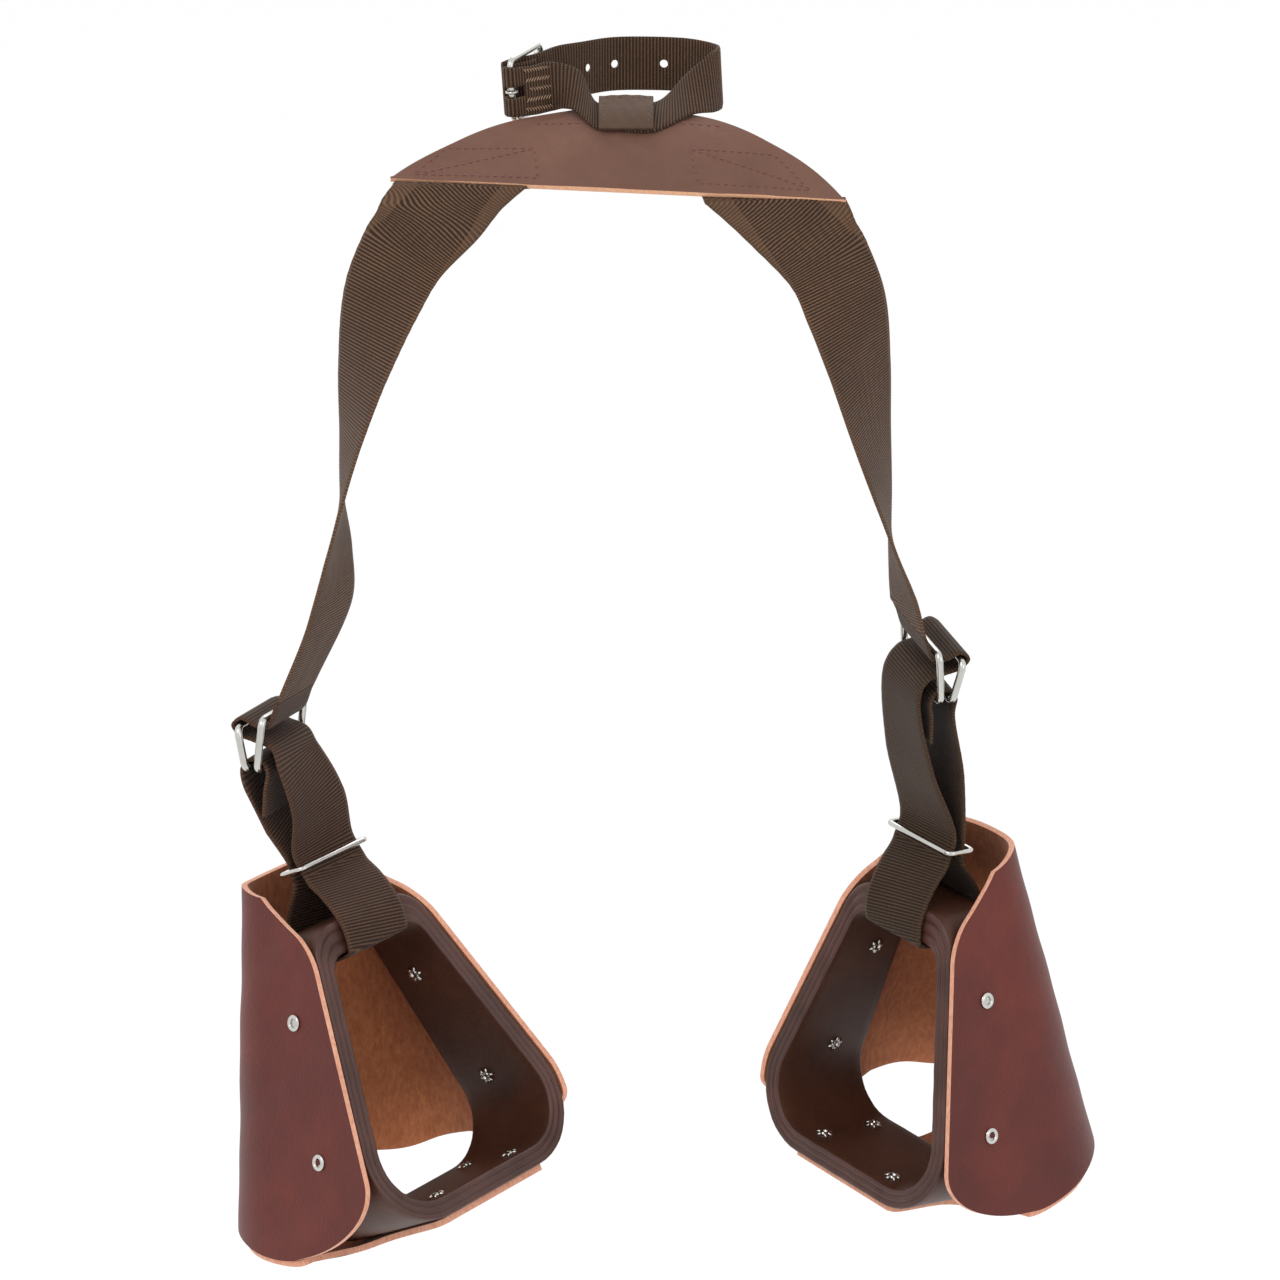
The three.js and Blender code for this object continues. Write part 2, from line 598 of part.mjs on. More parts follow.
// The leather keeper sewn down over the flat part of the horn strap.
function addBand() {
  const [left, right] = [-8, 20];
  const middle = (left + right) / 2;
  const [rows, columns] = [7, 8];
  const layer = lift => Array.from({ length: columns + 1 }, (_, i) => {
    const x = THREE.MathUtils.lerp(left, right, i / columns);
    const high = 23.5 - 2 * (Math.abs(x - middle) / (right - middle)) ** 2;
    return Array.from({ length: rows + 1 }, (_, j) => onYoke(x, THREE.MathUtils.lerp(-6, high, j / rows), lift));
  });
  const under = YOKE.thick + HORN_WEB.thick + 2.2;
  add(root, 'horn_strap_band', plate(layer(under + 2), layer(under)), LOOK.yokeLeather);
}

// ---------------------------------------------------------------- the horn strap and its buckle
// The buckle stands on edge at the left of the loop, so its hinge bar and its roller are upright.
const BUCKLE = { hinge: [-51.5, -11.5, -13], roller: [-37, 18, -8.5], tall: 31.4, wire: 1.6, corner: 3.5 };
const TONGUE = { wire: 1.4, eye: 3.4, base: [3.1, 1.5], tip: [5.6, 35.5] };   // outwards, towards the roller
const CHAPE = { width: 25.4, thick: 1.8, wrap: 3.3, away: [0.776, 0.63] };       // the way it leaves the hinge bar

// A twisted strip given by points on its lower or near edge, its middle and its upper or far edge.
function strip(edges, thick, steps) {
  const curves = [0, 1, 2].map(k => new THREE.CatmullRomCurve3(edges.map(e => vec(...e[k])), false, 'centripetal'));
  const front = [];
  const back = [];
  const count = (edges.length - 1) * steps;
  for (let i = 0; i <= count; i++) {
    const [low, middle, high] = curves.map(c => c.getPoint(i / count));
    const tangent = curves[1].getTangent(i / count);
    const normal = tangent.cross(high.clone().sub(low)).normalize().multiplyScalar(thick / 2);
    const points = [low, low.clone().lerp(middle, 0.5), middle, middle.clone().lerp(high, 0.5), high];
    front.push(points.map(p => p.clone().add(normal)));
    back.push(points.map(p => p.clone().sub(normal)));
  }
  return plate(front, back);
}

function buckleFrame() {
  const hinge = vec(...BUCKLE.hinge);
  const way = vec(...BUCKLE.roller).sub(hinge);
  const length = way.length();
  way.normalize();
  const outwards = vec(0, 0, 1).cross(way).normalize();
  const bar = way.clone().cross(outwards);
  const place = (out, along) => hinge.clone().addScaledVector(outwards, out).addScaledVector(way, along);
  return { bar, way, outwards, length, place };
}

// The edges of an upright piece of strap of the given width whose middle is at p.
const uprightEdges = (p, width, up = vec(0, 0, 1)) =>
  [-0.5, 0, 0.5].map(k => p.clone().addScaledVector(up, k * width).toArray());

const FLAT_MIDDLE = 9;                              // d of the middle of the strap where it lies on the yoke
function flatEdges(x, width, lean = 0) {
  const lift = YOKE.thick + 1.3 + HORN_WEB.thick / 2;
  return [-0.5, 0, 0.5].map(k => onYoke(x + (k + 0.5) * lean, FLAT_MIDDLE + k * width, lift).toArray());
}

function addHornStrap() {
  const { bar, place } = buckleFrame();
  const { width, thick } = HORN_WEB;
  const round = [[52, 30, -9], [38, 42, -7.6], [13, 45, -7], [-2, 42, -7], [-17, 30, -7.6]];
  const billet = strip([
    flatEdges(4, width), flatEdges(20, width, 2),
    [[39.5, -14, -24], [38.2, -2.5, -15.5], [36.8, 9, -7]], [[51.5, 0, -25], [50, 6, -11.2], [48, 12, 2.5]],
    [[54.5, 14, -24.5], [53.4, 16, -10], [52, 18, 4.5]],
    ...round.map(p => uprightEdges(vec(...p), width)),
    ...[[-8.2, 40], [-6, 34.5], [-4.6, 28], [-2.5, 21], [2.2, 14], [5.4, 9], [6.4, 3]]
      .map(p => uprightEdges(place(...p), width, bar)),
  ], thick, 3);
  const holes = [[-27, 20, -7], [-14, 33, -7], [0, 43, -7], [25, 44.5, -6.5], [46, 36.5, -7.5]]
    .map(([x, y, z], i) => rod(vec(x, y, z).add(i < 2 ? vec(9, -6, 0) : vec(i < 4 ? 0 : -6, -8, 0)),
      vec(x, y, z).add(i < 2 ? vec(-9, 6, 0) : vec(i < 4 ? 0 : 6, 8, 0)), 2.2, 8));
  const tongueWay = rod(place(...TONGUE.base), place(...TONGUE.tip), TONGUE.wire + 1.1, 8);
  add(root, 'horn_billet', cut(billet, [...holes, tongueWay]), LOOK.webbing);
  addChape(bar, place);
}

// The chape stands up from the yoke, wraps the hinge bar and is sewn back on itself.
function addChape(bar, place) {
  const { width, thick, wrap, away } = CHAPE;
  const centre = place(0, 0);
  const along = vec(...away, 0);
  const side = vec(away[1], -away[0], 0);
  const at = (across, back, rise = 0) => uprightEdges(centre.clone().addScaledVector(side, across)
    .addScaledVector(along, back).add(vec(0, 0, rise)), width, bar);
  const turn = [-70, -30, 10, 50, 90].map(a => [-wrap * Math.sin(deg(a)), -wrap * Math.cos(deg(a))]);
  const body = strip([
    flatEdges(2.5, width), flatEdges(-8, width, -1), [[-21, -12, -22], [-19.5, -3, -13.5], [-18, 6, -5]],
    at(wrap + 0.6, 22, 1),
    at(wrap, 12), at(wrap, 3), ...turn.map(([across, back]) => at(across, back)), at(-wrap, 12, 1.2), at(-wrap, 19, 2),
  ], thick, 3);
  const slot = rod(centre.clone().addScaledVector(bar, -3), centre.clone().addScaledVector(bar, 3), 6.5, 10);
  add(root, 'horn_chape', cut(body, [slot]), LOOK.webbing);
}

function addBuckle() {
  const { bar, way, outwards, length, place } = buckleFrame();
  const { tall, wire, corner } = BUCKLE;
  const loop = wireLoop(roundRectangle(place(0, length / 2), way, bar, length, tall, corner), wire, outwards);
  add(root, 'buckle_frame', loop, LOOK.nickel);
  const turn = new THREE.Quaternion().setFromUnitVectors(vec(0, 1, 0), bar);
  const ring = (outer, half, at) => {
    const profile = [[wire + GAP, -half], [outer, -half], [outer, half], [wire + GAP, half], [wire + GAP, -half]];
    return facingOut(mergeBare(new THREE.LatheGeometry(profile.map(p => new THREE.Vector2(...p)), 14)
      .applyQuaternion(turn).translate(...at.toArray())));
  };
  add(root, 'buckle_roller', ring(3.6, 11.5, place(0, length)), LOOK.nickel);
  const arm = rod(place(...TONGUE.base), place(...TONGUE.tip), TONGUE.wire, 8);
  add(root, 'buckle_tongue', join(ring(TONGUE.eye, 2.2, place(0, 0)), arm), LOOK.nickel);
}

// ---------------------------------------------------------------- assembly
addYoke();
addBand();
addHornStrap();
addBuckle();
for (const [label, side] of Object.entries(SIDES)) {
  const group = stirrupGroup(side);
  addStirrup(label, side, group);
  addKeeper(label, side, group);
  addAdjuster(label, side, group);
  addUpperStrap(label, side);
}

export default root;
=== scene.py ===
"""A pair of hooded buddy stirrups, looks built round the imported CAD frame. Metres, +Z up."""

import math

import bmesh
import bpy
import numpy as np
from mathutils import Matrix, Vector


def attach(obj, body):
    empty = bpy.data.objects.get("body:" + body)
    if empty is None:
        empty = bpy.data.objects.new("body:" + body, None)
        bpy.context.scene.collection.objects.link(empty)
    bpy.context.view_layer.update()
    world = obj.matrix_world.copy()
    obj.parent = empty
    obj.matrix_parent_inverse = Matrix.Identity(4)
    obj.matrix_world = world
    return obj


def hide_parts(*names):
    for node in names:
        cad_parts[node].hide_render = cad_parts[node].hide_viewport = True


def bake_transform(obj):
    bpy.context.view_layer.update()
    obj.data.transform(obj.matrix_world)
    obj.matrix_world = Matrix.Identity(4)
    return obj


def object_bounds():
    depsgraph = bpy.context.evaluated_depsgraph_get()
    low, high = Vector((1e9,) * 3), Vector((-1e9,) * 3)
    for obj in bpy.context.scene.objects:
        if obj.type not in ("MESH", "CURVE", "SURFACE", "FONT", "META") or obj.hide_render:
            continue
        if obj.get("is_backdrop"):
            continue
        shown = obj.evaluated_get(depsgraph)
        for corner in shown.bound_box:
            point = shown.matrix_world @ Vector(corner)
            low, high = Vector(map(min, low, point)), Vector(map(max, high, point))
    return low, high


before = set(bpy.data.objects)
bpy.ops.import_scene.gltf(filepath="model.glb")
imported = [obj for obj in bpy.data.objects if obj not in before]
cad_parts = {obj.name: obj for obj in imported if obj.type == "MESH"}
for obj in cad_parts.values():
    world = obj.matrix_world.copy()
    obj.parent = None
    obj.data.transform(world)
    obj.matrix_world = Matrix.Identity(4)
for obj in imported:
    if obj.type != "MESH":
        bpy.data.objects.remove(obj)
CAD_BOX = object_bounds()
SCENE = bpy.context.scene
MM = 0.001

# ------------------------------------------------------------------ sizes shared with the CAD, millimetres
WEB_WIDTH, WEB_THICK = 44.5, 2.2
HORN_WIDTH, HORN_THICK = 27.5, 2.0
RIB = 1.75  # pitch of the cross ribs of the webbing
RIDGE = (-20.0, -31.0)
TOP_SLOPE, FLAP_SLOPE, BEND = math.radians(14), math.radians(47), 9.0
YOKE_THICK = 3.2
YOKE_LEFT, YOKE_RIGHT = 112.0, 116.0
PEAK, REACH = 5.0, 26.0
HALF_BOTTOM, LEAN, HEIGHT, WALL, TOP_BAR = 72.0, math.radians(16.5), 134.0, 10.0, 17.0
BOTTOM_RADIUS, TOP_RADIUS = 27.0, 12.0
HALF_DEPTH, TAPER = 33.0, 0.087
HOOD_THICK = 3.4
TOP_NEAR, TOP_TOE, TOE_REACH, TOE_SLOPE, SOLE, SCOOP, FLARE = 152.0, 184.0, 116.0, 0.43, -10.5, 34.0, 7.0
STRAIGHT = 0.46
PINCH_UP, PINCH_GAP = 175.0, 1.5
RING_WIRE, RING_INNER, RING_TALL = 2.0, 47.5, 22.0
KEEPER_WIRE, KEEPER_WIDTH, KEEPER_DEEP, KEEPER_ABOVE = 1.5, 49.0, 17.0, 7.0
TREAD_RIVETS = ((-32, -18), (-32, 18), (28, -20))
LEG_RIVETS = {"outer": ((1, 107), (1, 37)), "inner": ((6, 105), (6, 39))}
SIDES = {
    "left": {"outward": -1, "pinch": -8, "at": (-88, -60, -580), "yaw": 48, "pitch": -25, "roll": -6,
             "adjuster": (-178, -20, -338), "bar": (0.36, 0.93, 0.0)},
    "right": {"outward": 1, "pinch": -8, "at": (148, 56, -607), "yaw": -51, "pitch": -5, "roll": 7,
              "adjuster": (167, 30, -312), "bar": (0.32, -0.92, -0.2)},
}
UPPER = {
    "left": (
        ((-77, -50, -63.5), (1.5, 0, -0.05)), ((-93, -50, -74), (1.16, -0.02, -0.28)),
        ((-105.5, -48, -89), (0.87, -0.08, -0.49)), ((-117.5, -47, -114), (0.8, -0.5, -0.33)),
        ((-127.5, -46, -150), (0.54, -0.83, -0.15)), ((-134, -45, -185), (0.26, -0.96, -0.05)),
        ((-138.5, -44, -215), (0.06, -1, 0)), ((-141, -40, -246), (-0.24, -0.97, 0)),
        ((-146, -32, -278), (-0.42, -0.91, 0))),
    "right": (
        ((79, -50.5, -67.5), (-1.5, 0, -0.08)), ((95, -48, -79), (-1.16, 0, -0.28)),
        ((107.5, -43, -95), (-0.87, 0.02, -0.49)), ((117.5, -35, -120), (-0.86, -0.38, -0.33)),
        ((125, -23, -152), (-0.7, -0.7, -0.15)), ((132, -8, -190), (-0.46, -0.89, -0.05)),
        ((139, 4, -226), (-0.22, -0.97, 0.05)), ((145, 14, -258), (0.04, -1, 0.12)),
        ((150.5, 22, -283), (0.22, -0.95, 0.2))),
}
STRAP_TOP = {  # where each strap comes out from under the leather's lower edge
    "left": (((-77, -45.2, -55.2), (1.5, 0, -0.03)), ((-85.8, -48.2, -63.8), (1.34, 0, -0.12))),
    "right": (((80.5, -49.2, -62), (-1.57, 0, -0.07)), ((88, -49.4, -70.3), (-1.37, 0, -0.16))),
}
BUCKLE_HINGE, BUCKLE_ROLLER = (-51.5, -11.5, -13.0), (-37.0, 18.0, -8.5)
BUCKLE_TALL, BUCKLE_WIRE, BUCKLE_CORNER = 31.4, 1.6, 3.5
CHAPE_WIDTH, CHAPE_THICK, CHAPE_WRAP, CHAPE_AWAY = 25.4, 1.8, 3.3, (0.776, 0.63)


def vec(*p):
    return np.array(p, float)


def unit(v):
    v = np.asarray(v, float)
    return v / np.linalg.norm(v)


def smooth(a, b, x):
    t = np.clip((x - a) / (b - a), 0.0, 1.0)
    return t * t * (3 - 2 * t)


# ------------------------------------------------------------------ curves and sheets
def catmull(points, samples):
    """Centripetal Catmull-Rom curve through the points, at parameters from 0 to 1 spread as three.js does."""
    p = np.asarray(points, float)
    count = len(p) - 1
    out = []
    for t in samples:
        x = min(max(t, 0.0), 1.0) * count
        i = min(int(x), count - 1)
        w = x - i
        p1, p2 = p[i], p[i + 1]
        p0 = p[i - 1] if i > 0 else 2 * p1 - p2
        p3 = p[i + 2] if i + 2 <= count else 2 * p2 - p1
        d0, d1, d2 = (max(np.linalg.norm(b - a) ** 0.5, 1e-4) for a, b in ((p0, p1), (p1, p2), (p2, p3)))
        t1 = ((p1 - p0) / d0 - (p2 - p0) / (d0 + d1) + (p2 - p1) / d1) * d1
        t2 = ((p2 - p1) / d1 - (p3 - p1) / (d1 + d2) + (p3 - p2) / d2) * d1
        c2 = -3 * p1 + 3 * p2 - 2 * t1 - t2
        c3 = 2 * p1 - 2 * p2 + t1 + t2
        out.append(p1 + t1 * w + c2 * w * w + c3 * w ** 3)
    return np.array(out)


def new_object(name, verts, faces, materials, face_materials=None, uvs=None):
    """A mesh object from millimetre points. uvs is one (u, v) for each vertex."""
    mesh = bpy.data.meshes.new(name)
    mesh.from_pydata((np.asarray(verts, float) * MM).tolist(), [], [list(map(int, f)) for f in faces])
    for m in materials:
        mesh.materials.append(m)
    if face_materials is not None:
        mesh.polygons.foreach_set("material_index", np.asarray(face_materials, np.int32))
    if uvs is not None:
        layer = mesh.uv_layers.new(name="strip")
        loops = np.zeros(len(mesh.loops), np.int32)
        mesh.loops.foreach_get("vertex_index", loops)
        layer.data.foreach_set("uv", np.asarray(uvs, np.float32)[loops].ravel())
    mesh.polygons.foreach_set("use_smooth", np.ones(len(mesh.polygons), bool))
    mesh.update()
    obj = bpy.data.objects.new(name, mesh)
    SCENE.collection.objects.link(obj)
    return obj


def grid_faces(rows, cols, start=0, wrap_cols=False, wrap_rows=False, flip=False):
    faces = []
    for r in range(rows if wrap_rows else rows - 1):
        for c in range(cols if wrap_cols else cols - 1):
            a = start + r * cols + c
            b = start + r * cols + (c + 1) % cols
            d = start + ((r + 1) % rows) * cols + c
            e = start + ((r + 1) % rows) * cols + (c + 1) % cols
            faces.append((a, d, e, b) if flip else (a, b, e, d))
    return faces


def webbing(name, low, middle, high, where, thick, material, ribs=0.34, taper=(False, False), square=True):
    """A closed strip of ribbed webbing between two edges and a middle line. where is the length along it."""
    rows, columns = len(where), 13
    u = np.linspace(-1, 1, columns)
    u = np.sign(u) * (1 - (1 - np.abs(u)) ** 1.25)  # closer columns near the selvedges
    tangent = np.gradient(middle, axis=0)
    tangent /= np.linalg.norm(tangent, axis=1)[:, None]
    across = high - low
    normal = np.cross(tangent, across)
    normal /= np.linalg.norm(normal, axis=1)[:, None]
    centre = np.zeros((rows, columns, 3))
    for k, x in enumerate(u):  # a parabola through low, middle and high
        centre[:, k] = low * (x * (x - 1) / 2) + middle * (1 - x * x) + high * (x * (x + 1) / 2)
    skew = (across * tangent).sum(1) / 2 * square  # ribs stay square to the strap on slanted rows
    length = where[:, None] + u[None, :] * skew[:, None]
    wave = np.cos(2 * np.pi * length / RIB)
    body = np.clip((1 - np.abs(u)) / 0.08, 0, 1)  # ribs fade into the flat selvedge
    height = thick / 2 * np.clip(0.62 + 0.38 * np.sqrt(np.clip((1 - np.abs(u)) / 0.05, 0, 1)), 0, 1)
    ridge = ribs * 0.5 * (wave - 1) * body[None, :]
    end = np.ones(rows)
    for at_end, flag in ((0, taper[0]), (1, taper[1])):
        if flag:
            distance = where if at_end == 0 else where[-1] - where
            end *= 0.55 + 0.45 * np.sqrt(np.clip(distance / 1.0, 0, 1))
    lift = (height[None, :] * end[:, None] + ridge)[..., None] * normal[:, None, :]
    front, back = centre + lift, centre - lift
    wobble = 0.12 * np.sin(where * 0.9)[:, None] * across / np.linalg.norm(across, axis=1)[:, None]
    front[:, 0] += wobble * 0.5
    back[:, -1] += wobble * 0.5
    verts = np.concatenate([front.reshape(-1, 3), back.reshape(-1, 3)])
    n = rows * columns
    faces = grid_faces(rows, columns) + grid_faces(rows, columns, n, flip=True)
    for r in range(rows - 1):
        a, b = r * columns, (r + 1) * columns
        faces.append((a, b, n + b, n + a))
        faces.append((a + columns - 1, n + a + columns - 1, n + b + columns - 1, b + columns - 1))
    for c in range(columns - 1):
        faces.append((c, n + c, n + c + 1, c + 1))
        last = (rows - 1) * columns
        faces.append((last + c, last + c + 1, n + last + c + 1, n + last + c))
    width = np.linalg.norm(across, axis=1)
    uv = np.zeros((rows, columns, 2))
    uv[..., 0] = (u[None, :] * width[:, None] / 2) / 100.0
    uv[..., 1] = length / 100.0
    uvs = np.concatenate([uv.reshape(-1, 2), uv.reshape(-1, 2)])
    obj = new_object(name, verts, faces, [material], uvs=uvs)
    return obj


def stations_to_edges(stations, width, skew):
    """Centre curve and across-direction curve, as the CAD does, turned into low, middle and high rows."""
    t = np.linspace(0, 1, 60 * (len(stations) - 1) + 1)
    centre = catmull([s[0] for s in stations], t)
    directions = [np.asarray(s[1], float) if skew else unit(s[1]) for s in stations]
    across = catmull(directions, t)
    if not skew:
        tangent = np.gradient(centre, axis=0)
        tangent /= np.linalg.norm(tangent, axis=1)[:, None]
        across = across - (across * tangent).sum(1)[:, None] * tangent
        across /= np.linalg.norm(across, axis=1)[:, None]
    return centre - across * width / 2, centre, centre + across * width / 2


def resample(low, middle, high, spacing):
    along = np.concatenate([[0], np.cumsum(np.linalg.norm(np.diff(middle, axis=0), axis=1))])
    rows = max(2, int(round(along[-1] / spacing)))
    where = np.linspace(0, along[-1], rows + 1)

    def pick(line):
        return np.stack([np.interp(where, along, line[:, k]) for k in range(3)], 1)

    return pick(low), pick(middle), pick(high), where


def plate(name, front, back, materials, slot, bevel=0.6):
    """A closed sheet between two grids of points. materials are for the front, the back and the cut edge."""
    rows, cols = front.shape[:2]
    n = rows * cols
    middle = (front + back) / 2
    loop = [(r, 0) for r in range(rows)] + [(rows - 1, c) for c in range(1, cols)]
    loop += [(r, cols - 1) for r in range(rows - 2, -1, -1)] + [(0, c) for c in range(cols - 2, 0, -1)]
    rim = np.array([middle[r, c] for r, c in loop])
    verts = np.concatenate([front.reshape(-1, 3), back.reshape(-1, 3), rim])
    faces = grid_faces(rows, cols) + grid_faces(rows, cols, n, flip=True)
    marks = [0] * (len(faces) // 2) + [1] * (len(faces) // 2)
    for k, (r, c) in enumerate(loop):
        r2, c2 = loop[(k + 1) % len(loop)]
        a, b = r * cols + c, r2 * cols + c2
        p, q = 2 * n + k, 2 * n + (k + 1) % len(loop)
        faces += [(a, b, q, p), (p, q, n + b, n + a)]
        marks += [2, 2]
    obj = outward(new_object(name, verts, faces, materials, marks))
    round_off = obj.modifiers.new("round", "BEVEL")
    round_off.width = bevel * MM
    round_off.segments = 3
    round_off.limit_method = "ANGLE"
    round_off.angle_limit = math.radians(50)
    apply_all(obj)
    return obj


def apply_all(obj):
    bpy.context.view_layer.update()
    done = bpy.data.meshes.new_from_object(obj.evaluated_get(bpy.context.evaluated_depsgraph_get()))
    old = obj.data
    obj.modifiers.clear()
    obj.data = done
    bpy.data.meshes.remove(old)
    obj.data.polygons.foreach_set("use_smooth", np.ones(len(obj.data.polygons), bool))
    obj.data.update()
    return obj


def sweep(name, points, radius, materials, closed=True, sides=18, up=(0, 0, 1)):
    """Round wire along points. up is a direction that is never along the wire."""
    p = np.asarray(points, float)
    n = len(p)
    ahead = np.roll(p, -1, 0) if closed else np.vstack([p[1:], 2 * p[-1] - p[-2]])
    behind = np.roll(p, 1, 0) if closed else np.vstack([2 * p[0] - p[1], p[:-1]])
    tangent = ahead - behind
    tangent /= np.linalg.norm(tangent, axis=1)[:, None]
    side = np.cross(tangent, np.asarray(up, float))
    side /= np.linalg.norm(side, axis=1)[:, None]
    over = np.cross(side, tangent)
    radius = np.broadcast_to(np.asarray(radius, float), (n,))
    a = np.linspace(0, 2 * np.pi, sides, endpoint=False)
    ring = (np.cos(a)[None, :, None] * side[:, None] + np.sin(a)[None, :, None] * over[:, None])
    verts = (p[:, None] + ring * radius[:, None, None]).reshape(-1, 3)
    faces = grid_faces(n, sides, wrap_cols=True, wrap_rows=closed)
    if not closed:
        faces.append(tuple(range(sides)))
        faces.append(tuple(range((n - 1) * sides + sides - 1, (n - 1) * sides - 1, -1)))
    obj = outward(new_object(name, verts, faces, materials))
    return obj


def outward(obj):
    bm = bmesh.new()
    bm.from_mesh(obj.data)
    bmesh.ops.recalc_face_normals(bm, faces=bm.faces)
    bm.to_mesh(obj.data)
    bm.free()
    return obj


def lathe(profile, sides=32):
    """Points and faces of a turned piece round +Z. profile holds (radius, height), radius 0 on the axis."""
    verts, faces, rings = [], [], []
    for r, z in profile:
        if r < 1e-6:
            rings.append([len(verts)])
            verts.append((0, 0, z))
        else:
            rings.append(list(range(len(verts), len(verts) + sides)))
            for k in range(sides):
                a = 2 * math.pi * k / sides
                verts.append((r * math.cos(a), r * math.sin(a), z))
    for lower, upper in zip(rings, rings[1:]):
        for k in range(sides):
            n = (k + 1) % sides
            if len(lower) == 1:
                faces.append((lower[0], upper[n], upper[k]))
            elif len(upper) == 1:
                faces.append((lower[k], lower[n], upper[0]))
            else:
                faces.append((lower[k], lower[n], upper[n], upper[k]))
    return np.array(verts, float), faces


def placed(verts, origin, z_way, x_way=(1, 0, 0)):
    z = unit(z_way)
    x = np.asarray(x_way, float)
    x = unit(x - x.dot(z) * z)
    y = np.cross(z, x)
    return np.asarray(origin) + verts[:, :1] * x + verts[:, 1:2] * y + verts[:, 2:3] * z


def merge(parts):
    verts, faces, start = [], [], 0
    for v, f in parts:
        verts.append(v)
        faces += [tuple(i + start for i in face) for face in f]
        start += len(v)
    return np.concatenate(verts), faces


# ------------------------------------------------------------------ materials
def linear(rgb):
    return tuple((c / 255 / 12.92) if c <= 10 else ((c / 255 + 0.055) / 1.055) ** 2.4 for c in rgb) + (1.0,)


class Nodes:
    """A short way to write node materials."""

    def __init__(self, name, roughness=0.6, metallic=0.0, specular=0.5):
        self.material = bpy.data.materials.new(name)
        self.material.use_nodes = True
        self.tree = self.material.node_tree
        self.shader = self.tree.nodes["Principled BSDF"]
        self.shader.inputs["Roughness"].default_value = roughness
        self.shader.inputs["Metallic"].default_value = metallic
        self.shader.inputs["Specular IOR Level"].default_value = specular

    def put(self, socket, value):
        if isinstance(value, bpy.types.NodeSocket):
            self.tree.links.new(value, socket)
        else:
            socket.default_value = value

    def node(self, kind, **inputs):
        node = self.tree.nodes.new(kind)
        for key, value in inputs.items():
            if hasattr(node, key) and key not in node.inputs:
                setattr(node, key, value)
            else:
                self.put(node.inputs[key.replace("_", " ")], value)
        return node

    def place(self, kind="Object"):
        return self.node("ShaderNodeTexCoord").outputs[kind]

    def scaled(self, vector, scale):
        return self.node("ShaderNodeMapping", Vector=vector, Scale=scale).outputs["Vector"]

    def noise(self, vector, scale, detail=4.0, rough=0.55):
        return self.node("ShaderNodeTexNoise", Vector=vector, Scale=scale, Detail=detail, Roughness=rough)

    def voronoi(self, vector, scale, feature="F1"):
        return self.node("ShaderNodeTexVoronoi", feature=feature, Vector=vector, Scale=scale)

    def math(self, operation, a, b=0.0):
        node = self.tree.nodes.new("ShaderNodeMath")
        node.operation = operation
        self.put(node.inputs[0], a)
        self.put(node.inputs[1], b)
        return node.outputs[0]

    def ramp(self, value, stops):
        node = self.tree.nodes.new("ShaderNodeValToRGB")
        self.put(node.inputs[0], value)
        elements = node.color_ramp.elements
        while len(elements) < len(stops):
            elements.new(0.5)
        for element, (where, colour) in zip(elements, stops):
            element.position = where
            element.color = colour if len(colour) == 4 else linear(colour)
        return node.outputs[0]

    def span(self, value, low, high):
        node = self.node("ShaderNodeMapRange", Value=value)
        node.inputs["To Min"].default_value = low
        node.inputs["To Max"].default_value = high
        return node.outputs["Result"]

    def mix(self, share, a, b):
        node = self.tree.nodes.new("ShaderNodeMix")
        node.data_type = "RGBA"
        self.put(node.inputs[0], share)
        self.put(node.inputs[6], a)
        self.put(node.inputs[7], b)
        return node.outputs[2]

    def bump(self, height, strength, distance):
        node = self.node("ShaderNodeBump", Height=height, Strength=strength, Distance=distance)
        return node.outputs["Normal"]

    def finish(self, colour, normal, roughness=None):
        self.put(self.shader.inputs["Base Color"], colour)
        self.put(self.shader.inputs["Normal"], normal)
        if roughness is not None:
            self.put(self.shader.inputs["Roughness"], roughness)
        return self.material


def webbing_material(name, crest, valley):
    """Ribbed nylon: UV is (across, along) in units of 100 mm."""
    n = Nodes(name, 0.72, specular=0.2)
    n.shader.inputs["Sheen Weight"].default_value = 0.06
    n.shader.inputs["Sheen Roughness"].default_value = 0.5
    uv = n.place("UV")
    parts = n.node("ShaderNodeSeparateXYZ", Vector=uv)
    across, along = parts.outputs[0], parts.outputs[1]
    turns = 2 * math.pi * 100 / RIB
    rib = n.math("COSINE", n.math("MULTIPLY", along, turns))
    yarn = n.math("SINE", n.math("ADD", n.math("MULTIPLY", across, 2 * math.pi * 100 / 1.15),
                                 n.math("MULTIPLY", along, turns * 0.5)))
    level = n.math("ADD", n.math("MULTIPLY", rib, 0.36), n.math("MULTIPLY", yarn, 0.14))
    fuzz = n.noise(n.place(), 900, 3.0)
    stray = n.math("MULTIPLY", n.math("SUBTRACT", fuzz.outputs[0], 0.5), 0.5)
    level = n.math("ADD", n.math("ADD", level, 0.5), stray)
    # Colour follows the rib height: the darker valleys are painted shade between the ribs, and the crests
    # take the lighter tone.
    colour = n.ramp(level, [(0.0, valley), (0.38, valley), (1.0, crest)])
    worn = n.noise(n.place(), 34, 5.0)
    colour = n.mix(n.span(worn.outputs[0], 0.0, 0.55), colour, linear([int(c * 0.72) for c in valley]))
    edge = n.math("GREATER_THAN", n.math("ABSOLUTE", across), 0.205)
    colour = n.mix(n.math("MULTIPLY", edge, 0.35), colour, linear([int(c * 0.8) for c in crest]))
    normal = n.bump(level, 0.55, 0.0006)
    return n.finish(colour, normal, n.span(fuzz.outputs[0], 0.62, 0.85))


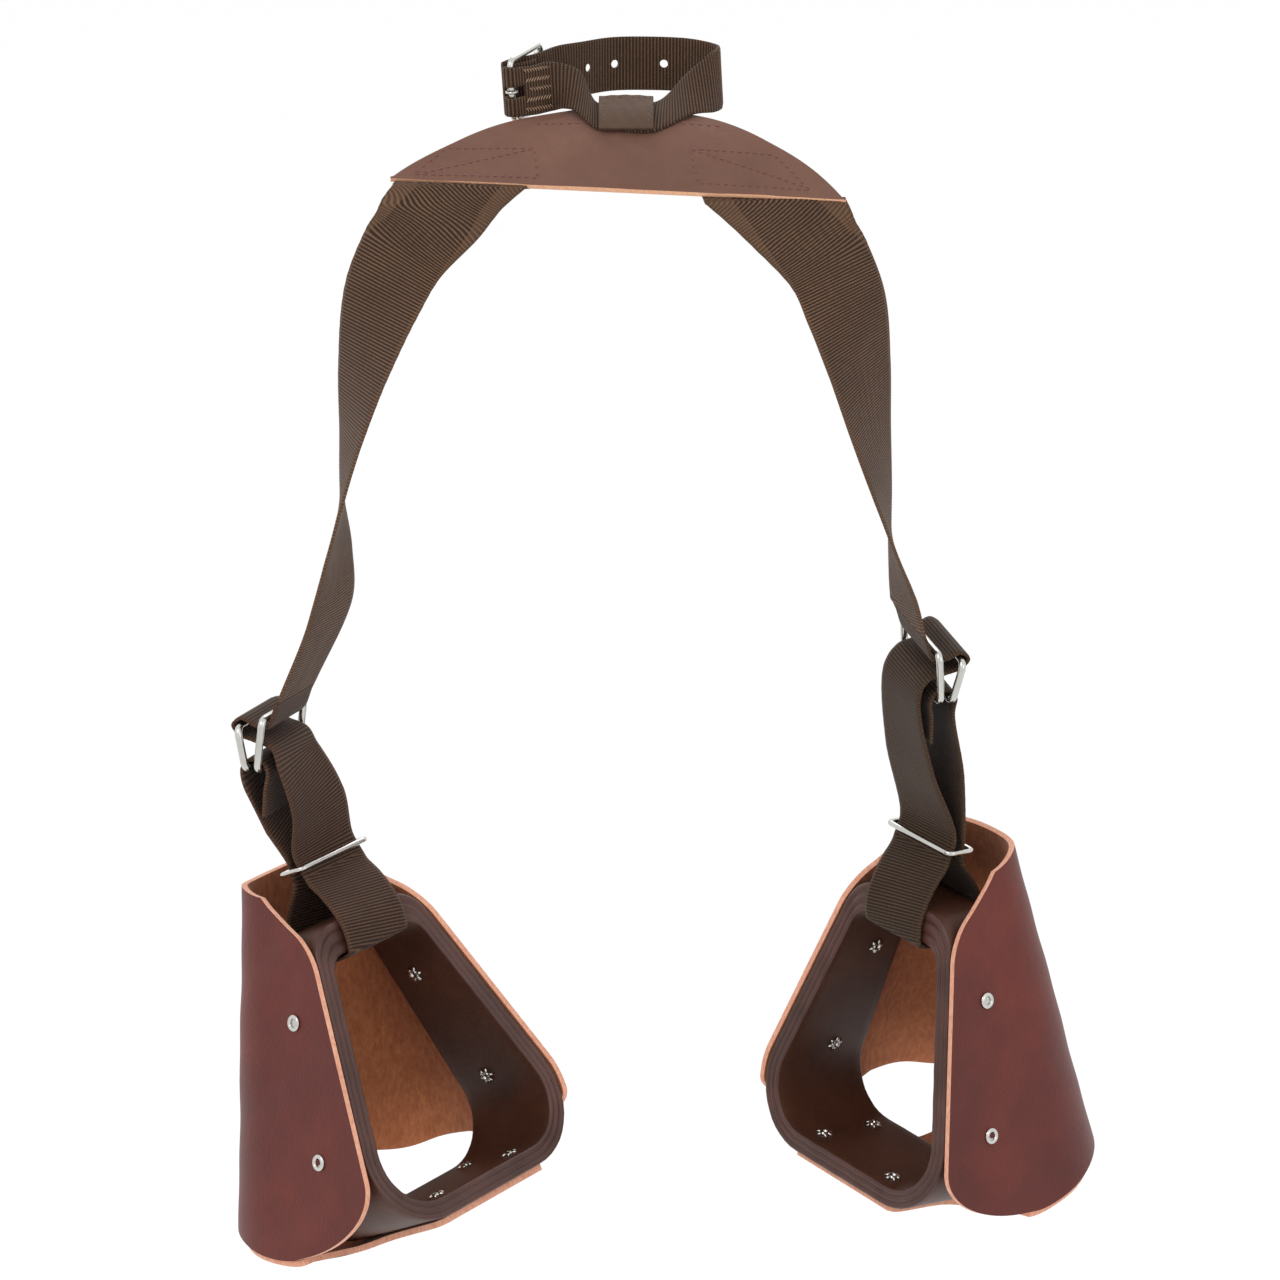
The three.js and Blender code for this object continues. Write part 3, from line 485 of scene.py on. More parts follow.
def leather_material(name, light, dark, rough, grain, depth, specular, mottle, coat=0.0):
    n = Nodes(name, 0.5, specular=specular)
    n.shader.inputs["Coat Weight"].default_value = coat
    n.shader.inputs["Coat Roughness"].default_value = 0.35
    where = n.place()
    clouds = n.noise(where, mottle, 6.0, 0.6)
    fine = n.noise(where, 160, 5.0, 0.6)
    between = [(a + b) / 2 for a, b in zip(light, dark)]
    colour = n.ramp(clouds.outputs[0], [(0.25, dark), (0.52, between), (0.8, light)])
    colour = n.mix(n.span(fine.outputs[0], 0.0, 0.35), colour, linear([c * 0.78 for c in dark]))
    pores = n.voronoi(where, grain)
    cells = n.voronoi(where, grain * 0.6, "DISTANCE_TO_EDGE")
    height = n.math("ADD", n.math("MULTIPLY", pores.outputs["Distance"], 0.45),
                    n.math("MULTIPLY", n.math("MINIMUM", cells.outputs["Distance"], 0.12), 4.0))
    creases = n.noise(n.scaled(where, (1.0, 1.0, 0.5)), 70, 7.0, 0.65)
    height = n.math("ADD", n.math("MULTIPLY", height, 0.5), n.math("MULTIPLY", creases.outputs[0], 1.1))
    normal = n.bump(height, depth, 0.0007)
    return n.finish(colour, normal, n.span(clouds.outputs[0], *rough))


def flesh_material(name, light, dark, fibre=420):
    n = Nodes(name, 0.9, specular=0.15)
    n.shader.inputs["Sheen Weight"].default_value = 0.2
    where = n.place()
    big = n.noise(where, 22, 5.0)
    nap = n.noise(n.scaled(where, (1.0, 1.0, 0.35)), fibre, 6.0, 0.7)
    colour = n.ramp(nap.outputs[0], [(0.3, dark), (0.7, light)])
    colour = n.mix(n.span(big.outputs[0], 0.0, 0.5), colour, linear([c * 0.82 for c in dark]))
    return n.finish(colour, n.bump(nap.outputs[0], 0.7, 0.0006), n.span(nap.outputs[0], 0.82, 0.97))


def nickel_material(name, tone=(205, 203, 198), rough=(0.12, 0.26)):
    n = Nodes(name, 0.18, metallic=1.0)
    where = n.place()
    smear = n.noise(where, 60, 4.0)
    scratch = n.noise(n.scaled(where, (1.0, 1.0, 9.0)), 420, 3.0)
    colour = n.ramp(smear.outputs[0], [(0.3, [c * 0.9 for c in tone]), (0.75, tone)])
    return n.finish(colour, n.bump(scratch.outputs[0], 0.08, 0.0003), n.span(smear.outputs[0], *rough))


def thread_material(name, colour):
    n = Nodes(name, 0.6)
    n.shader.inputs["Sheen Weight"].default_value = 0.3
    twist = n.noise(n.place(), 1500, 2.0)
    shade = n.ramp(twist.outputs[0], [(0.3, [c * 0.7 for c in colour]), (0.7, colour)])
    return n.finish(shade, n.bump(twist.outputs[0], 0.4, 0.0002))


# Four copies of one webbing, each toned for the light where it hangs: the leg straps keep the lit tone, while
# the horn strap's and the left and right plies' darker tones are painted shade.
WEB_LEG = webbing_material("webbing_leg", (136, 102, 76), (46, 31, 23))
WEB_PLY_SHADED = {"left": webbing_material("webbing_ply_left_shaded", (112, 78, 56), (36, 22, 16)),
           "right": webbing_material("webbing_ply_right_shaded", (98, 70, 46), (30, 19, 13))}
WEB_HORN_SHADED = webbing_material("webbing_horn_shaded", (118, 86, 60), (40, 27, 19))
YOKE_GRAIN = leather_material("yoke_grain", (128, 93, 79), (98, 68, 57), (0.58, 0.74), 620, 0.45, 0.2, 14)
# The band is a darker copy of the yoke's leather: painted shade from the horn loop lying over the flat top.
BAND_GRAIN_SHADED = leather_material("band_grain_shaded", (104, 80, 64), (72, 54, 42), (0.6, 0.75), 620, 0.5, 0.2, 30)
YOKE_FLESH = flesh_material("yoke_flesh", (150, 108, 82), (112, 78, 58))
YOKE_EDGE = flesh_material("yoke_raw_edge", (246, 196, 160), (214, 152, 112), 700)
HOOD_GRAIN = leather_material("hood_grain", (112, 42, 31), (70, 20, 14), (0.4, 0.56), 560, 0.42, 0.3, 16,
                              coat=0.04)
HOOD_FLESH = flesh_material("hood_flesh", (196, 124, 82), (150, 86, 52))
HOOD_EDGE = flesh_material("hood_raw_edge", (240, 186, 158), (200, 132, 104), 700)
STRIP = leather_material("strip_cover", (88, 52, 36), (54, 29, 19), (0.42, 0.56), 800, 0.3, 0.3, 24)
STRIP_RIM = leather_material("strip_rim", (96, 62, 54), (58, 34, 28), (0.3, 0.42), 900, 0.22, 0.35, 40)
NICKEL = nickel_material("nickel")
NICKEL_DARK = nickel_material("nickel_shadowed", (30, 27, 25), (0.4, 0.6))
THREAD_RED = thread_material("thread_red", (116, 58, 48))
THREAD_TAN = thread_material("thread_tan", (176, 140, 112))
THREAD_DARK = thread_material("thread_dark", (70, 52, 42))


# ------------------------------------------------------------------ the yoke
TOPWAY = vec(0, math.cos(TOP_SLOPE), math.sin(TOP_SLOPE))
FLAPWAY = vec(0, -math.cos(FLAP_SLOPE), -math.sin(FLAP_SLOPE))
RIDGE_POINT = vec(0, *RIDGE)


def on_yoke(x, d, lift):
    """A point lift above the folded sheet: x across, d along it, + up the flat top and - down the flap."""
    if abs(d) < BEND:
        t = (d + BEND) / (2 * BEND)
        a, b, c = RIDGE_POINT + FLAPWAY * BEND, RIDGE_POINT, RIDGE_POINT + TOPWAY * BEND
        base = a * (1 - t) ** 2 + b * 2 * t * (1 - t) + c * t * t
        way = unit((b - a) * (1 - t) + (c - b) * t)
    else:
        way = TOPWAY if d > 0 else -FLAPWAY
        base = RIDGE_POINT + (TOPWAY if d > 0 else FLAPWAY) * abs(d)
    return base + np.cross((1, 0, 0), way) * lift + vec(x, 0, 0)


def yoke_bottom(x):
    return -(37.5 + 0.055 * x)


def yoke_top(x):
    t = (PEAK - x) / (PEAK + YOKE_LEFT) if x < PEAK else (x - PEAK) / (YOKE_RIGHT - PEAK)
    arch = 52 * t ** 1.25 + 5 * t ** 8 if x < PEAK else 59 * t ** 1.25 + 12 * t ** 8
    return max(REACH - arch, yoke_bottom(x) + 1.5)


def under_strap(x, d):
    """How far the leather stands proud over the crossing straps sewn beneath it, from 0 to 1."""
    best = 0.0
    for sign in (-1, 1):
        low, high = vec(sign * 78, -36), vec(-sign * 2, 10)
        way = unit(high - low)
        across = vec(-way[1], way[0])
        q = vec(x, d) - low
        along, off = q.dot(way), abs(q.dot(across))
        best += smooth(16.5, 12.5, off) * smooth(-8, 2, along) * smooth(98, 90, along)
    return best


def yoke_lift(x, d):
    waves = 0.35 * math.sin(x * 0.071 + d * 0.11) + 0.25 * math.sin(x * 0.13 - d * 0.05 + 1.3)
    sag = -0.5 * smooth(0.0, 1.0, abs(x) / 115.0) * smooth(-20, -38, d)
    return 0.55 * under_strap(x, d) + 0.35 * waves + sag


def yoke_grid(inset, lift, rows=46, cols=150, shape=yoke_lift):
    points = np.zeros((cols + 1, rows + 1, 3))
    for i in range(cols + 1):
        x = -YOKE_LEFT + inset + (YOKE_LEFT + YOKE_RIGHT - 2 * inset) * i / cols
        low = yoke_bottom(x) + inset
        high = max(yoke_top(x) - inset, low + 1)
        for j in range(rows + 1):
            d = low + (high - low) * j / rows
            points[i, j] = on_yoke(x, d, lift + (shape(x, d) if shape else 0))
    return points


def band_grid(lift):
    band = np.zeros((30, 34, 3))
    for i, x in enumerate(np.linspace(-7.8, 19.8, 30)):
        high = 23.3 - 2 * (abs(x - 6) / 14) ** 2
        for j, d in enumerate(np.linspace(-5.8, high, 34)):
            band[i, j] = on_yoke(x, d, lift + 0.12 * math.sin(x * 0.9 + d * 0.4))
    return band


def stitches(name, places, body, material, length=2.6, radius=0.42, sink=0.3):
    """Sewn stitches. places holds (point, way along the seam, surface normal) in millimetres."""
    ring = 7
    parts = []
    for point, way, normal in places:
        way, normal = unit(way), unit(normal)
        side = np.cross(normal, way)
        steps = np.linspace(-1, 1, 7)
        verts = []
        for s in steps:
            r = radius * math.sqrt(max(1 - abs(s) ** 2.6, 0.04))
            height = radius * 0.55 - sink * abs(s) ** 3 * 1.6
            middle = np.asarray(point) + way * s * length / 2 + normal * height
            for k in range(ring):
                a = 2 * math.pi * k / ring
                verts.append(middle + side * r * math.cos(a) + normal * r * 0.85 * math.sin(a))
        faces = grid_faces(len(steps), ring, wrap_cols=True)
        faces.append(tuple(range(ring)))
        faces.append(tuple(range(len(verts) - 1, len(verts) - ring - 1, -1)))
        parts.append((np.array(verts), faces))
    verts, faces = merge(parts)
    obj = outward(new_object(name, verts, faces, [material]))
    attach(obj, body)
    return obj


def yoke_seam(path, pitch=3.6, lift=None):
    """Stitch places along a path of (x, d) corners on the yoke's top face."""
    places = []
    for a, b in zip(path, path[1:]):
        a, b = vec(*a), vec(*b)
        count = max(1, int(np.linalg.norm(b - a) / pitch))
        for k in range(count):
            x, d = a + (b - a) * (k + 0.5) / count
            step = unit(b - a)
            up = YOKE_THICK + yoke_lift(x, d) if lift is None else lift
            p = on_yoke(x, d, up)
            q = on_yoke(x + step[0] * 0.5, d + step[1] * 0.5, up)
            normal = on_yoke(x, d, up + 1) - p
            places.append((p, q - p, normal))
    return places


def build_yoke():
    leather = plate("yoke_leather_sheet", yoke_grid(0.3, YOKE_THICK), yoke_grid(0.3, 0.0),
                    [YOKE_GRAIN, YOKE_FLESH, YOKE_EDGE], "yoke_leather", 0.6)
    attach(leather, "yoke")
    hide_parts("yoke_leather")
    grids = (yoke_grid(5.3, lift, 24, 80, None) for lift in (-5.8, -8.2))
    lining = plate("yoke_lining_sheet", *grids, [YOKE_FLESH, YOKE_GRAIN, YOKE_EDGE], "yoke_leather", 0.5)
    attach(lining, "yoke")
    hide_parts("yoke_lining")
    under = YOKE_THICK + HORN_THICK + 2.2
    cover = plate("horn_strap_band_leather", band_grid(under + 1.95), band_grid(under),
                  [BAND_GRAIN_SHADED, YOKE_FLESH, BAND_GRAIN_SHADED], "yoke_leather", 0.4)
    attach(cover, "yoke")
    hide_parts("horn_strap_band")
    band_seam = yoke_seam(((-5.2, -3.5), (-5.2, 20), (17.2, 20), (17.2, -3.5)), 3.0, lift=under + 1.9)
    stitches("band_stitches", band_seam, "yoke", THREAD_DARK, 2.0, 0.3)
    ridge = yoke_seam(((-40, 1.5), (-9, 2.5)), 3.8) + yoke_seam(((24, 2.5), (54, 0.5)), 3.8)
    box_right = yoke_seam(((38, -14), (42, -34), (98, -38), (80, -17), (38, -14)), 3.8)
    box_left = yoke_seam(((-38, -31), (-100, -28.5), (-84, -13), (-40, -14), (-38, -31)), 3.8)
    cross = yoke_seam(((38, -14), (95, -36)), 3.8) + yoke_seam(((-40, -14), (-96, -28)), 3.8)
    stitches("yoke_stitches", ridge + box_right + box_left + cross, "yoke", THREAD_RED, 2.7, 0.42)
    for side, sign in (("left", -1), ("right", 1)):
        low, high = vec(sign * 70, -30), vec(-sign * 2, 10)
        way = unit(high - low)
        across = vec(-way[1], way[0]) * 12.8
        lift = -0.8 - WEB_THICK / 2 if sign < 0 else -1.2 - WEB_THICK * 1.5
        t = np.linspace(0.0, 1.0, 130)
        line = [[on_yoke(*(low + (high - low) * k + across * s), lift) for k in t] for s in (-1, 0, 1)]
        parts = resample(*[np.array(c) for c in line], RIB / 3)
        root = webbing("strap_root_webbing_" + side, *parts[:3], parts[3], WEB_THICK * 0.92, WEB_LEG)
        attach(root, "yoke")
        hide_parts("strap_root_" + side)


# ------------------------------------------------------------------ the horn strap and its buckle
BUCKLE_H = vec(*BUCKLE_HINGE)
BUCKLE_WAY = unit(vec(*BUCKLE_ROLLER) - BUCKLE_H)
BUCKLE_LENGTH = float(np.linalg.norm(vec(*BUCKLE_ROLLER) - BUCKLE_H))
BUCKLE_OUT = unit(np.cross((0, 0, 1), BUCKLE_WAY))
BUCKLE_BAR = np.cross(BUCKLE_WAY, BUCKLE_OUT)


def buckle_place(out, along):
    return BUCKLE_H + BUCKLE_OUT * out + BUCKLE_WAY * along


def upright(p, width, up=(0, 0, 1)):
    return [np.asarray(p, float) + np.asarray(up, float) * k * width for k in (-0.5, 0, 0.5)]


def flat(x, width, lean=0.0):
    lift = YOKE_THICK + 1.3 + HORN_THICK / 2
    return [on_yoke(x + (k + 0.5) * lean, 9 + k * width, lift) for k in (-0.5, 0, 0.5)]


def strip_rows(edges, spacing=RIB / 3):
    t = np.linspace(0, 1, 60 * (len(edges) - 1) + 1)
    low, middle, high = (catmull([e[k] for e in edges], t) for k in range(3))
    return resample(low, middle, high, spacing)


def cut_away(obj, verts, faces):
    cutter = outward(new_object("cutter", verts, faces, []))
    cut = obj.modifiers.new("cut", "BOOLEAN")
    cut.operation, cut.solver, cut.object = "DIFFERENCE", "EXACT", cutter
    apply_all(obj)
    bpy.data.objects.remove(cutter)


def drill(obj, holes, radius):
    """Cuts round holes, given as (centre, way), clean through."""
    verts, faces = lathe([(0, -9), (radius, -9), (radius, 9), (0, 9)], 20)
    cut_away(obj, *merge([(placed(verts, centre, way, (0, 0, 1)), faces) for centre, way in holes]))


def build_horn_strap():
    edges = [flat(4, HORN_WIDTH), flat(20, HORN_WIDTH, 2),
             [vec(39.5, -14, -24), vec(38.2, -2.5, -15.5), vec(36.8, 9, -7)],
             [vec(51.5, 0, -25), vec(50, 6, -11.2), vec(48, 12, 2.5)],
             [vec(54.5, 14, -24.5), vec(53.4, 16, -10), vec(52, 18, 4.5)]]
    for p in ((52, 30, -9), (38, 42, -7.6), (13, 45, -7), (-2, 42, -7), (-17, 30, -7.6)):
        edges.append(upright(p, HORN_WIDTH))
    for p in ((-8.2, 40), (-6, 34.5), (-4.6, 28), (-2.5, 21), (2.2, 14), (5.4, 9), (6.4, 3)):
        edges.append(upright(buckle_place(*p), HORN_WIDTH, BUCKLE_BAR))
    low, middle, high, where = strip_rows(edges)
    billet = webbing("horn_billet_webbing", low, middle, high, where, HORN_THICK, WEB_HORN_SHADED,
                     taper=(False, True), square=False)
    holes = []
    for target in ((-27, 20, -7), (-14, 33, -7), (0, 43, -7), (25, 44.5, -6.5), (46, 36.5, -7.5),
                   buckle_place(3.4, 12)):
        i = int(np.argmin(np.linalg.norm(middle - vec(*target), axis=1)))
        holes.append((middle[i], np.cross(middle[i + 1] - middle[i - 1], high[i] - low[i])))
    drill(billet, holes, 2.1)
    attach(billet, "yoke")
    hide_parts("horn_billet")

    along, side = vec(*CHAPE_AWAY, 0), vec(CHAPE_AWAY[1], -CHAPE_AWAY[0], 0)

    def at(across, back, rise=0.0):
        return upright(BUCKLE_H + side * across + along * back + vec(0, 0, rise), CHAPE_WIDTH, BUCKLE_BAR)

    edges = [flat(2.5, CHAPE_WIDTH), flat(-8, CHAPE_WIDTH, -1),
             [vec(-21, -12, -22), vec(-19.5, -3, -13.5), vec(-18, 6, -5)],
             at(CHAPE_WRAP + 0.6, 22, 1), at(CHAPE_WRAP, 12), at(CHAPE_WRAP, 3)]
    for degrees in (-70, -30, 10, 50, 90):
        a = math.radians(degrees)
        edges.append(at(-CHAPE_WRAP * math.sin(a), -CHAPE_WRAP * math.cos(a)))
    edges += [at(-CHAPE_WRAP, 12, 1.2), at(-CHAPE_WRAP, 19, 2)]
    low, middle, high, where = strip_rows(edges)
    chape = webbing("horn_chape_webbing", low, middle, high, where, CHAPE_THICK, WEB_HORN_SHADED, ribs=0.24,
                    taper=(False, True), square=False)
    verts, faces = lathe([(0, -3), (6.6, -3), (6.6, 3), (0, 3)], 28)
    cut_away(chape, placed(verts, BUCKLE_H, BUCKLE_BAR), faces)
    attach(chape, "yoke")
    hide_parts("horn_chape")

    places = []
    for back in np.arange(6.0, 27.0, 1.7):  # zigzag rows through both plies
        for k in range(5):
            across = -0.4 + 0.2 * k
            shift = 0.85 if k % 2 else 0
            base = BUCKLE_H + along * (back + shift) + side * (CHAPE_WRAP + CHAPE_THICK / 2 - 0.05)
            base = base + vec(0, 0, 0.2 + 0.04 * back) + BUCKLE_BAR * across * CHAPE_WIDTH
            if back < 8 and abs(across) < 0.15:
                continue
            lean = 1 if k % 2 else -1
            places.append((base, along * lean * 0.8 + BUCKLE_BAR, side))
    stitches("chape_zigzag", places, "yoke", THREAD_TAN, 2.8, 0.27, 0.15)


def rounded_loop(centre, x_way, y_way, width, height, corner, per_corner=9, per_side=10):
    points = []
    for q in range(4):
        sx = 1 if q in (0, 3) else -1
        sy = 1 if q < 2 else -1
        for k in range(per_corner + 1):
            a = math.radians(q * 90 + 90 * k / per_corner)
            x = sx * (width / 2 - corner) + corner * math.cos(a)
            y = sy * (height / 2 - corner) + corner * math.sin(a)
            points.append(np.asarray(centre) + unit(x_way) * x + unit(y_way) * y)
    out = []
    for a, b in zip(points, points[1:] + points[:1]):
        count = per_side if np.linalg.norm(b - a) > corner else 1
        out += [a + (b - a) * k / count for k in range(count)]
    return np.array(out)


def build_buckle():
    centre = buckle_place(0, BUCKLE_LENGTH / 2)
    loop = rounded_loop(centre, BUCKLE_WAY, BUCKLE_BAR, BUCKLE_LENGTH, BUCKLE_TALL, BUCKLE_CORNER)
    body = sweep("buckle_frame_wire", loop, BUCKLE_WIRE, [NICKEL], up=BUCKLE_OUT)
    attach(body, "yoke")
    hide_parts("buckle_frame")
    bore, outer, half = BUCKLE_WIRE + 0.3, 3.6, 11.5
    profile = [(bore, -half), (outer - 0.5, -half), (outer, -half + 0.5), (outer, half - 0.5),
               (outer - 0.5, half), (bore, half)]
    n = 40
    verts, faces = lathe(profile, n)
    faces += [(k, k + n * 5, (k + 1) % n + n * 5, (k + 1) % n) for k in range(n)]
    roller = outward(new_object("roller_tube", placed(verts, BUCKLE_ROLLER, BUCKLE_BAR), faces, [NICKEL]))
    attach(roller, "roller")
    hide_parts("buckle_roller")
    start, end = buckle_place(3.1, 1.5), buckle_place(5.6, 35.5)
    turns = np.linspace(0.35, 2 * math.pi - 0.2, 26)
    eye = [buckle_place(2.65 * math.cos(a), 2.65 * math.sin(a)) for a in turns]
    pin = []
    for t in np.linspace(0.08, 1, 24):
        pin.append(start + (end - start) * t + BUCKLE_OUT * 0.35 * math.sin(t * math.pi))
    radius = [0.75] * len(eye) + list(1.32 - 0.35 * np.linspace(0, 1, 24) ** 2)
    tongue = sweep("tongue_pin", eye[::-1] + pin, radius, [NICKEL], closed=False, up=BUCKLE_BAR)
    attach(tongue, "tongue")
    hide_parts("buckle_tongue")


# ------------------------------------------------------------------ the straps and the adjusters
LEAD, LEAD_ROWS = 16.0, 8  # the part of an upper strap that runs up under the leather
# Where the plies fold round the bar, as (out, above) from the adjuster's middle.
FRONT_FOLDS = ((14.05, 14.7), (12.6, 12), (7, 0.4), (0, 1.4), (-7, 4.2), (-12, 0.4), (-8, -4.6), (0, -7),
               (10, -10.5))
BACK_FOLDS = ((4.5, -48), (5.5, -34), (7, -23), (3.5, -18), (-3.5, -18), (-7, -22))


def adjuster(side):
    """The bar's direction, the directions out and up from it, and a function that places a point there."""
    bar = unit(SIDES[side]["bar"])
    normal = unit((bar[1], -bar[0], 0))
    up = unit(np.cross(normal, bar))
    centre = vec(*SIDES[side]["adjuster"])

    def place(out, above):
        return centre + normal * out + up * above

    return bar, normal, up, place


def stirrup_axes(side):
    """Origin and axes of a stirrup: across, towards the toe, up."""
    data = SIDES[side]
    yaw, pitch, roll = (math.radians(data[k]) for k in ("yaw", "pitch", "roll"))
    turn = Matrix.Rotation(yaw, 3, "Z") @ Matrix.Rotation(pitch, 3, "X") @ Matrix.Rotation(roll, 3, "Y")
    axes = np.array(turn)
    return vec(*data["at"]), axes[:, 0], axes[:, 1], axes[:, 2]


def to_world(side, points):
    origin, u, v, w = stirrup_axes(side)
    p = np.asarray(points, float)
    return origin + p[..., 0:1] * u + p[..., 1:2] * v + p[..., 2:3] * w


def pinch_point(side, forward, up):
    """A point over the stirrup's top bar, in line with the place where the plies meet."""
    data = SIDES[side]
    return to_world(side, (data["pinch"] * data["outward"], forward, up))


def build_upper_strap(side):
    bar, _, _, place = adjuster(side)
    stations = list(STRAP_TOP[side]) + list(UPPER[side][1:])
    sign = np.sign(bar.dot(stations[-1][1]))
    stations.append((place(14.2, 15), bar * sign))
    edges = stations_to_edges(stations, WEB_WIDTH, True)
    lead = []
    for k in range(LEAD_ROWS, 0, -1):
        share = k / LEAD_ROWS * LEAD
        row = []
        for x, _, _ in (edge[0] for edge in edges):
            d = yoke_bottom(x) + share * 0.8
            row.append(on_yoke(x - np.sign(x) * share * 0.75, d, -0.6 - WEB_THICK / 2))
        lead.append(row)
    rows = [np.vstack([[row[k] for row in lead], edge]) for k, edge in enumerate(edges)]
    strap = webbing("strap_upper_webbing_" + side, *resample(*rows, RIB / 3), WEB_THICK, WEB_LEG)
    hinge = UPPER[side][0][0]
    (vec(*hinge) + vec(0, 0, 9)) * MM
    (vec(*hinge) + vec(0, 0, -14)) * MM
    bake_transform(strap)
    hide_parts("strap_upper_" + side)


def build_plies(side):
    """The two plies between rings and keeper: from lying along the bar they turn to lie along the stirrup."""
    bar, normal, _, place = adjuster(side)
    across = stirrup_axes(side)[1]
    way = bar * np.sign(bar.dot(across))

    def pinch(forward, above):
        return pinch_point(side, forward, PINCH_UP + PINCH_GAP + above)

    def turned(share):
        return way * (1 - share) + across * share

    front_top, back_top = place(15, -21), place(-6.5, -30)
    front = [(place(*p), way) for p in FRONT_FOLDS]
    front += [(front_top, turned(0.15)), ((front_top + pinch(-2.1, 12)) / 2 + normal * 4, turned(0.6)),
              (pinch(-3.2, 12), across), (pinch(-4.8, 0), across)]
    back = [(place(*p), way) for p in BACK_FOLDS]
    back += [(back_top, way), ((back_top + pinch(2.1, 12)) / 2 - normal * 2, turned(0.6)),
             (pinch(3.2, 12), across), (pinch(4.8, 0), across)]
    for name, line in (("strap_front_", front), ("strap_back_", back)):
        is_back = name == "strap_back_"
        parts = resample(*stations_to_edges(line, WEB_WIDTH, False), RIB / 3)
        ply = webbing(name + "webbing_" + side, *parts, WEB_THICK, WEB_PLY_SHADED[side], taper=(is_back, False))
        if is_back:
            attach(ply, "hanger_" + side)
        else:
            place(14, 14.8) * MM
            place(9, 3) * MM
            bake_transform(ply)
        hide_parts(name + side)


def build_bight(side):
    """The bottom of the hanging loop, from the keeper round the stirrup's top bar and back."""
    data = SIDES[side]
    across = stirrup_axes(side)[1]
    half, bottom, top, end = 23.8, HEIGHT - 2.2, HEIGHT + TOP_BAR, PINCH_UP - PINCH_GAP
    near = [(-4.6, end + 3.2), (-6.4, end - 1), (-13.5, end - 9.5), (-20, top + 2.5), (-half + 0.4, top - 6),
            (-half, bottom + 4), (-half + 0.9, bottom + 0.8), (-half + 4.5, bottom)]
    outline = near + [(0, bottom - 0.2)] + [(-v, w) for v, w in reversed(near)]
    slope = data["outward"] * data["pinch"] / (PINCH_UP - bottom)
    stations = [(to_world(side, (slope * (w - bottom), v, w)), across) for v, w in outline]
    parts = resample(*stations_to_edges(stations, WEB_WIDTH, True), RIB / 3)
    bight = webbing("hanger_bight_webbing_" + side, *parts, WEB_THICK, WEB_PLY_SHADED[side])
    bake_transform(bight)
    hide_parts("hanger_bight_" + side)


def ring(name, side, top, bottom):
    bar, _, _, place = adjuster(side)
    high, low = place(*top), place(*bottom)
    tall = high - low
    loop = rounded_loop((high + low) / 2, bar, tall, RING_INNER + 2 * RING_WIRE, np.linalg.norm(tall), 4.2)
    body = sweep(name + "_wire_" + side, loop, RING_WIRE, [NICKEL], up=unit(np.cross(bar, tall)))
    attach(body, name + "_" + side)
    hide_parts(name + "_" + side)


def build_adjuster(side):
    ring("ring_outer", side, (-7.5, 0), (-3.2, -RING_TALL))
    ring("ring_inner", side, (6.5, 5.5), (3.2, -RING_TALL))
    centre = pinch_point(side, 0, PINCH_UP + KEEPER_ABOVE)
    _, u, v, w = stirrup_axes(side)
    loop = rounded_loop(centre, u, v, KEEPER_WIDTH + KEEPER_WIRE, KEEPER_DEEP, 3.2)
    body = sweep("keeper_wire_" + side, loop, KEEPER_WIRE, [NICKEL], up=w)
    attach(body, "keeper_" + side)
    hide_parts("keeper_" + side)


# ------------------------------------------------------------------ the stirrups
SLOPE = math.tan(LEAN)
WALL_ACROSS = WALL / math.cos(LEAN)


def leg_inner(up):
    return HALF_BOTTOM - up * SLOPE


def leg_outer(up):
    return leg_inner(up) + WALL_ACROSS


def trapezium(bottom, top, half_bottom, half_top, bottom_radius, top_radius, per_corner=14, per_side=26):
    """Points round a trapezium with round corners, the same number for any size: (across, up)."""
    corners = [(half_bottom, bottom, bottom_radius), (half_top, top, top_radius),
               (-half_top, top, top_radius), (-half_bottom, bottom, bottom_radius)]
    arcs = []
    for i, (x, y, radius) in enumerate(corners):
        here = vec(x, y)
        before = unit(vec(*corners[i - 1][:2]) - here)
        after = unit(vec(*corners[(i + 1) % 4][:2]) - here)
        half = math.acos(before.dot(after)) / 2
        centre = here + unit(before + after) * radius / math.sin(half)
        start, end = here + before * radius / math.tan(half), here + after * radius / math.tan(half)
        a0 = math.atan2(*(start - centre)[::-1])
        a1 = math.atan2(*(end - centre)[::-1])
        a1 += 2 * math.pi if a1 < a0 else 0
        turns = np.linspace(a0, a1, per_corner)
        arcs.append([centre + radius * vec(math.cos(a), math.sin(a)) for a in turns])
    points = []
    for i, arc in enumerate(arcs):
        points += arc
        nxt = arcs[(i + 1) % 4][0]
        points += [arc[-1] + (nxt - arc[-1]) * k / per_side for k in range(1, per_side)]
    return np.array(points)


# One rim of the strip's section: share of the way from its inner to its outer line, and depth below the rim.
RIM = ((0.0, 6.0), (0.0, 1.1), (0.03, 0.45), (0.09, 0.1), (0.16, 0.0), (0.23, 0.15), (0.28, 0.8), (0.34, 0.9),
       (0.4, 0.25), (0.5, 0.0), (0.6, 0.25), (0.66, 0.9), (0.72, 0.8), (0.77, 0.15), (0.84, 0.0), (0.91, 0.1),
       (0.97, 0.45), (1.0, 1.1), (1.0, 6.0))
BESIDE_RIM = 15.0  # depth of the row of points beside each rim
RIM_MATERIAL_DEPTH = 1.2


def frame_section():
    """Once round the strip: share from inner to outer line, which rim (0 is midway), depth below it."""
    inner_face = [(0.0, -1, BESIDE_RIM), (0.0, 0, 0), (0.0, 1, BESIDE_RIM)]
    outer_face = [(1.0, 1, BESIDE_RIM), (1.0, 0, 0), (1.0, -1, BESIDE_RIM)]
    near_rim = [(share, -1, depth) for share, depth in RIM[::-1]]
    far_rim = [(share, 1, depth) for share, depth in RIM]
    return near_rim + inner_face + far_rim + outer_face


